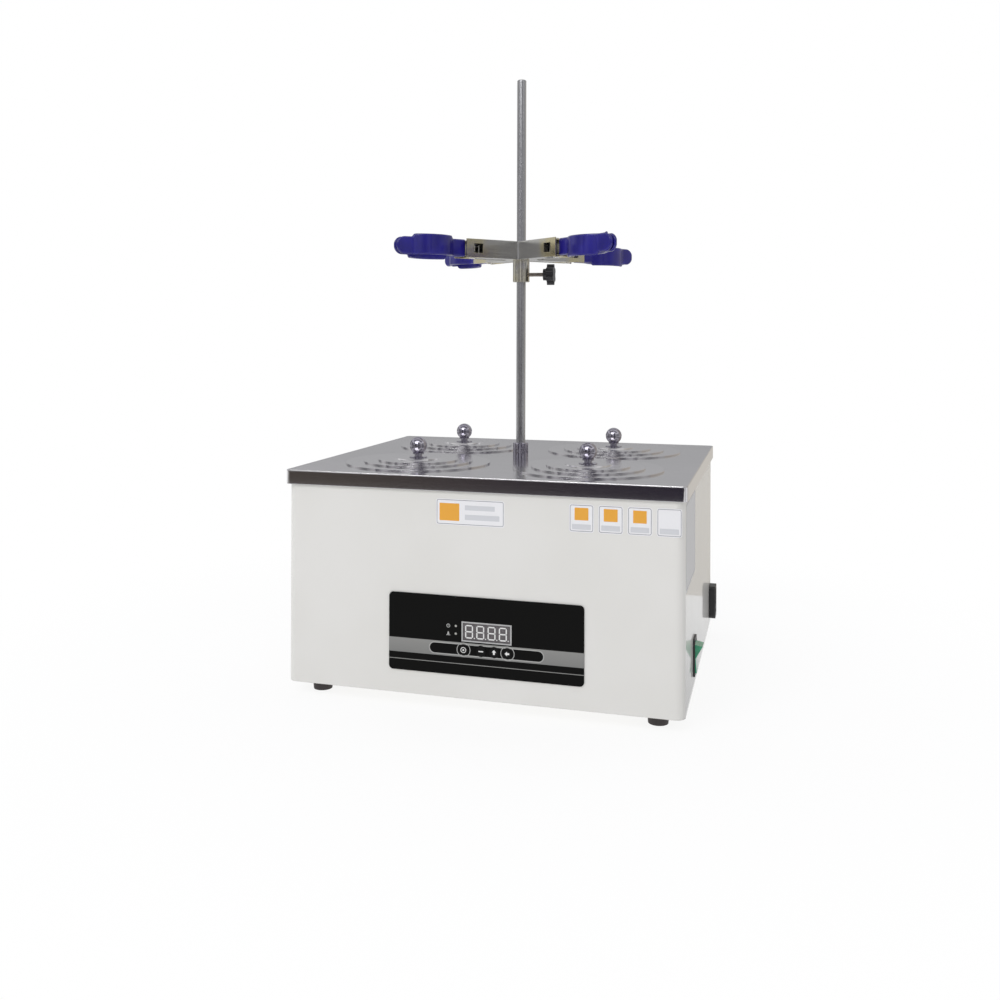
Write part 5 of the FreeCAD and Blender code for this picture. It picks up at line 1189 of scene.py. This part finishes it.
def hang_cards(cards):
    """Hangs cards whose grey swings from dark to bright along one axis."""
    for name, corners, dark, bright, (axis, count, shift) in cards:
        paint = Paint(name, (0.5, 0.5, 0.5), 0.9)
        along = {"X": paint.x, "Y": paint.y, "Z": paint.z}[axis]
        wave = 0.5 + 0.5 * (along * count + shift).wave()
        glow = paint.node("ShaderNodeEmission", Color=paint.mix(wave, dark, bright), Strength=1.0)
        paint.show(glow.outputs[0])
        piece = stage_card(name, corners, paint.material)
        piece.visible_camera = piece.visible_diffuse = piece.visible_shadow = False
    print("cards:", ", ".join(card[0] for card in cards))


hang_cards([
    ("back_card", upright((-4, 2.6), (4, 2.6), 0.0, 2.2),
     (0.34, 0.34, 0.35), (0.60, 0.60, 0.61), ("Z", 2.2, -1.6)),
    ("top_card", lying(-2.5, 2.5, (-1.5, 2.4), (2.5, 2.4)),
     (0.25, 0.25, 0.27), (0.95, 0.95, 0.95), ("Y", 3.1, 0.6)),
    ("front_card", upright((-2.6, -1.6), (2.6, -1.6), 0.0, 0.34),
     (0.035, 0.03, 0.045), (0.10, 0.085, 0.075), ("X", 2.4, -2.2)),
    ("room_card", upright((-3.0, -2.4), (3.0, -2.4), 0.3, 2.4),
     (0.07, 0.065, 0.09), (0.62, 0.62, 0.64), ("X", 3.4, 1.1)),
    ("right_card", upright((2.6, -2.0), (2.6, 2.4), 0.0, 1.6),
     (0.16, 0.16, 0.17), (0.55, 0.55, 0.55), ("Y", 2.6, 0.4)),
    ("left_card", upright((-2.6, -2.0), (-2.6, 2.4), 0.0, 1.6),
     (0.20, 0.20, 0.21), (0.70, 0.70, 0.70), ("Y", 2.6, 0.9)),
])

# %% [markdown]
# Three soft box lamps light the object: a large one from the left front, a faint one from the right,
# and one above that mirrors don't show. The near cards are what single reflections in the photograph
# need: a wall and a table beside the right side, boxes for the skirt's corners, and one for the knobs.

# %% Lamps and near cards


def lamp(name, place, target, power, wide, tall, mirrored=True):
    """Makes a soft box lamp that looks at a point, and that mirrors see unless told otherwise."""
    data = bpy.data.lights.new(name, "AREA")
    data.shape = "RECTANGLE"
    data.size, data.size_y, data.energy = wide, tall, power
    item = add_object(name, data)
    item.location = place
    item.rotation_euler = (Vector(target) - Vector(place)).to_track_quat("-Z", "Y").to_euler()
    item.visible_glossy = mirrored


lamp("key_light", (-0.45, -1.8, 1.75), (0, 0, 0.25), 17.0, 1.4, 1.0)
hang_cards([
    ("wall_card", upright((0.212, 0.33), (1.2, 0.33), 0.0, 1.2),
     (0.49, 0.455, 0.41), (0.62, 0.59, 0.545), ("Z", 9.0, 0.2)),
    ("table_card", lying(0.212, 1.2, (-0.21, 0.004), (0.33, 0.004)),
     (0.50, 0.50, 0.51), (0.86, 0.86, 0.86), ("Y", 5.0, -0.2)),
    ("left_box", upright((-0.95, -1.40), (-1.40, -0.85), 0.02, 0.20),
     (0.22, 0.22, 0.21), (0.34, 0.34, 0.32), ("Z", 9.0, 0.0)),
    ("sky_box", lying(-0.7, 0.5, (-1.15, 1.55), (-0.75, 1.80)),
     (1.8, 1.8, 1.8), (2.4, 2.4, 2.4), ("X", 5.0, 0.0)),
    ("right_box", upright((1.02, -1.10), (1.38, -0.60), 0.02, 0.20),
     (0.5, 0.5, 0.52), (0.7, 0.7, 0.72), ("Z", 9.0, 0.0)),
])
lamp("side_light", (1.8, -0.6, 0.9), (0, 0, 0.2), 0.35, 1.0, 1.0)
lamp("top_light", (0.2, 0.6, 1.9), (0, 0, 0.25), 5.0, 1.6, 1.0, mirrored=False)

# %% [markdown]
# The camera stands where the photographer stood. Its place, turn and lens come from matching the
# case's and cover's corners in the photograph, measured from the rod's axis and the case's floor.

# %% Camera

CAMERA_FROM_ROD = Vector((302.9, -1228.1, 378.7)) * MM
TURN, DROP, ROLL = math.radians(16.0), math.radians(-0.20), math.radians(0.19)
FOCAL_SHARE = 1.0484
CENTRE_SHARES = (0.4818, 0.3283)
SENSOR_WIDTH = 36.0
forward = Vector((-math.sin(TURN), math.cos(TURN), 0))
side = Vector((math.cos(TURN), math.sin(TURN), 0))
up = Vector((0, 0, 1))
ahead = forward * math.cos(DROP) - up * math.sin(DROP)
above = up * math.cos(DROP) + forward * math.sin(DROP)
camera_x = side * math.cos(ROLL) + above * math.sin(ROLL)
camera_y = above * math.cos(ROLL) - side * math.sin(ROLL)
camera_data = bpy.data.cameras.new("camera")
camera_data.sensor_width = SENSOR_WIDTH
camera_data.lens = FOCAL_SHARE * SENSOR_WIDTH
camera_data.shift_x = 0.5 - CENTRE_SHARES[0]
camera_data.shift_y = CENTRE_SHARES[1] - 0.5
camera = add_object("camera", camera_data)
turned = Matrix((camera_x, camera_y, -ahead)).transposed().to_4x4()
spot = Vector((AXIS.x, AXIS.y, case_low.z)) + CAMERA_FROM_ROD
camera.matrix_world = Matrix.Translation(spot) @ turned
bpy.context.scene.camera = camera
bpy.context.scene.view_settings.view_transform = "Standard"
print("camera at", [round(v, 3) for v in spot])

# %% [markdown]

# %% Sizes
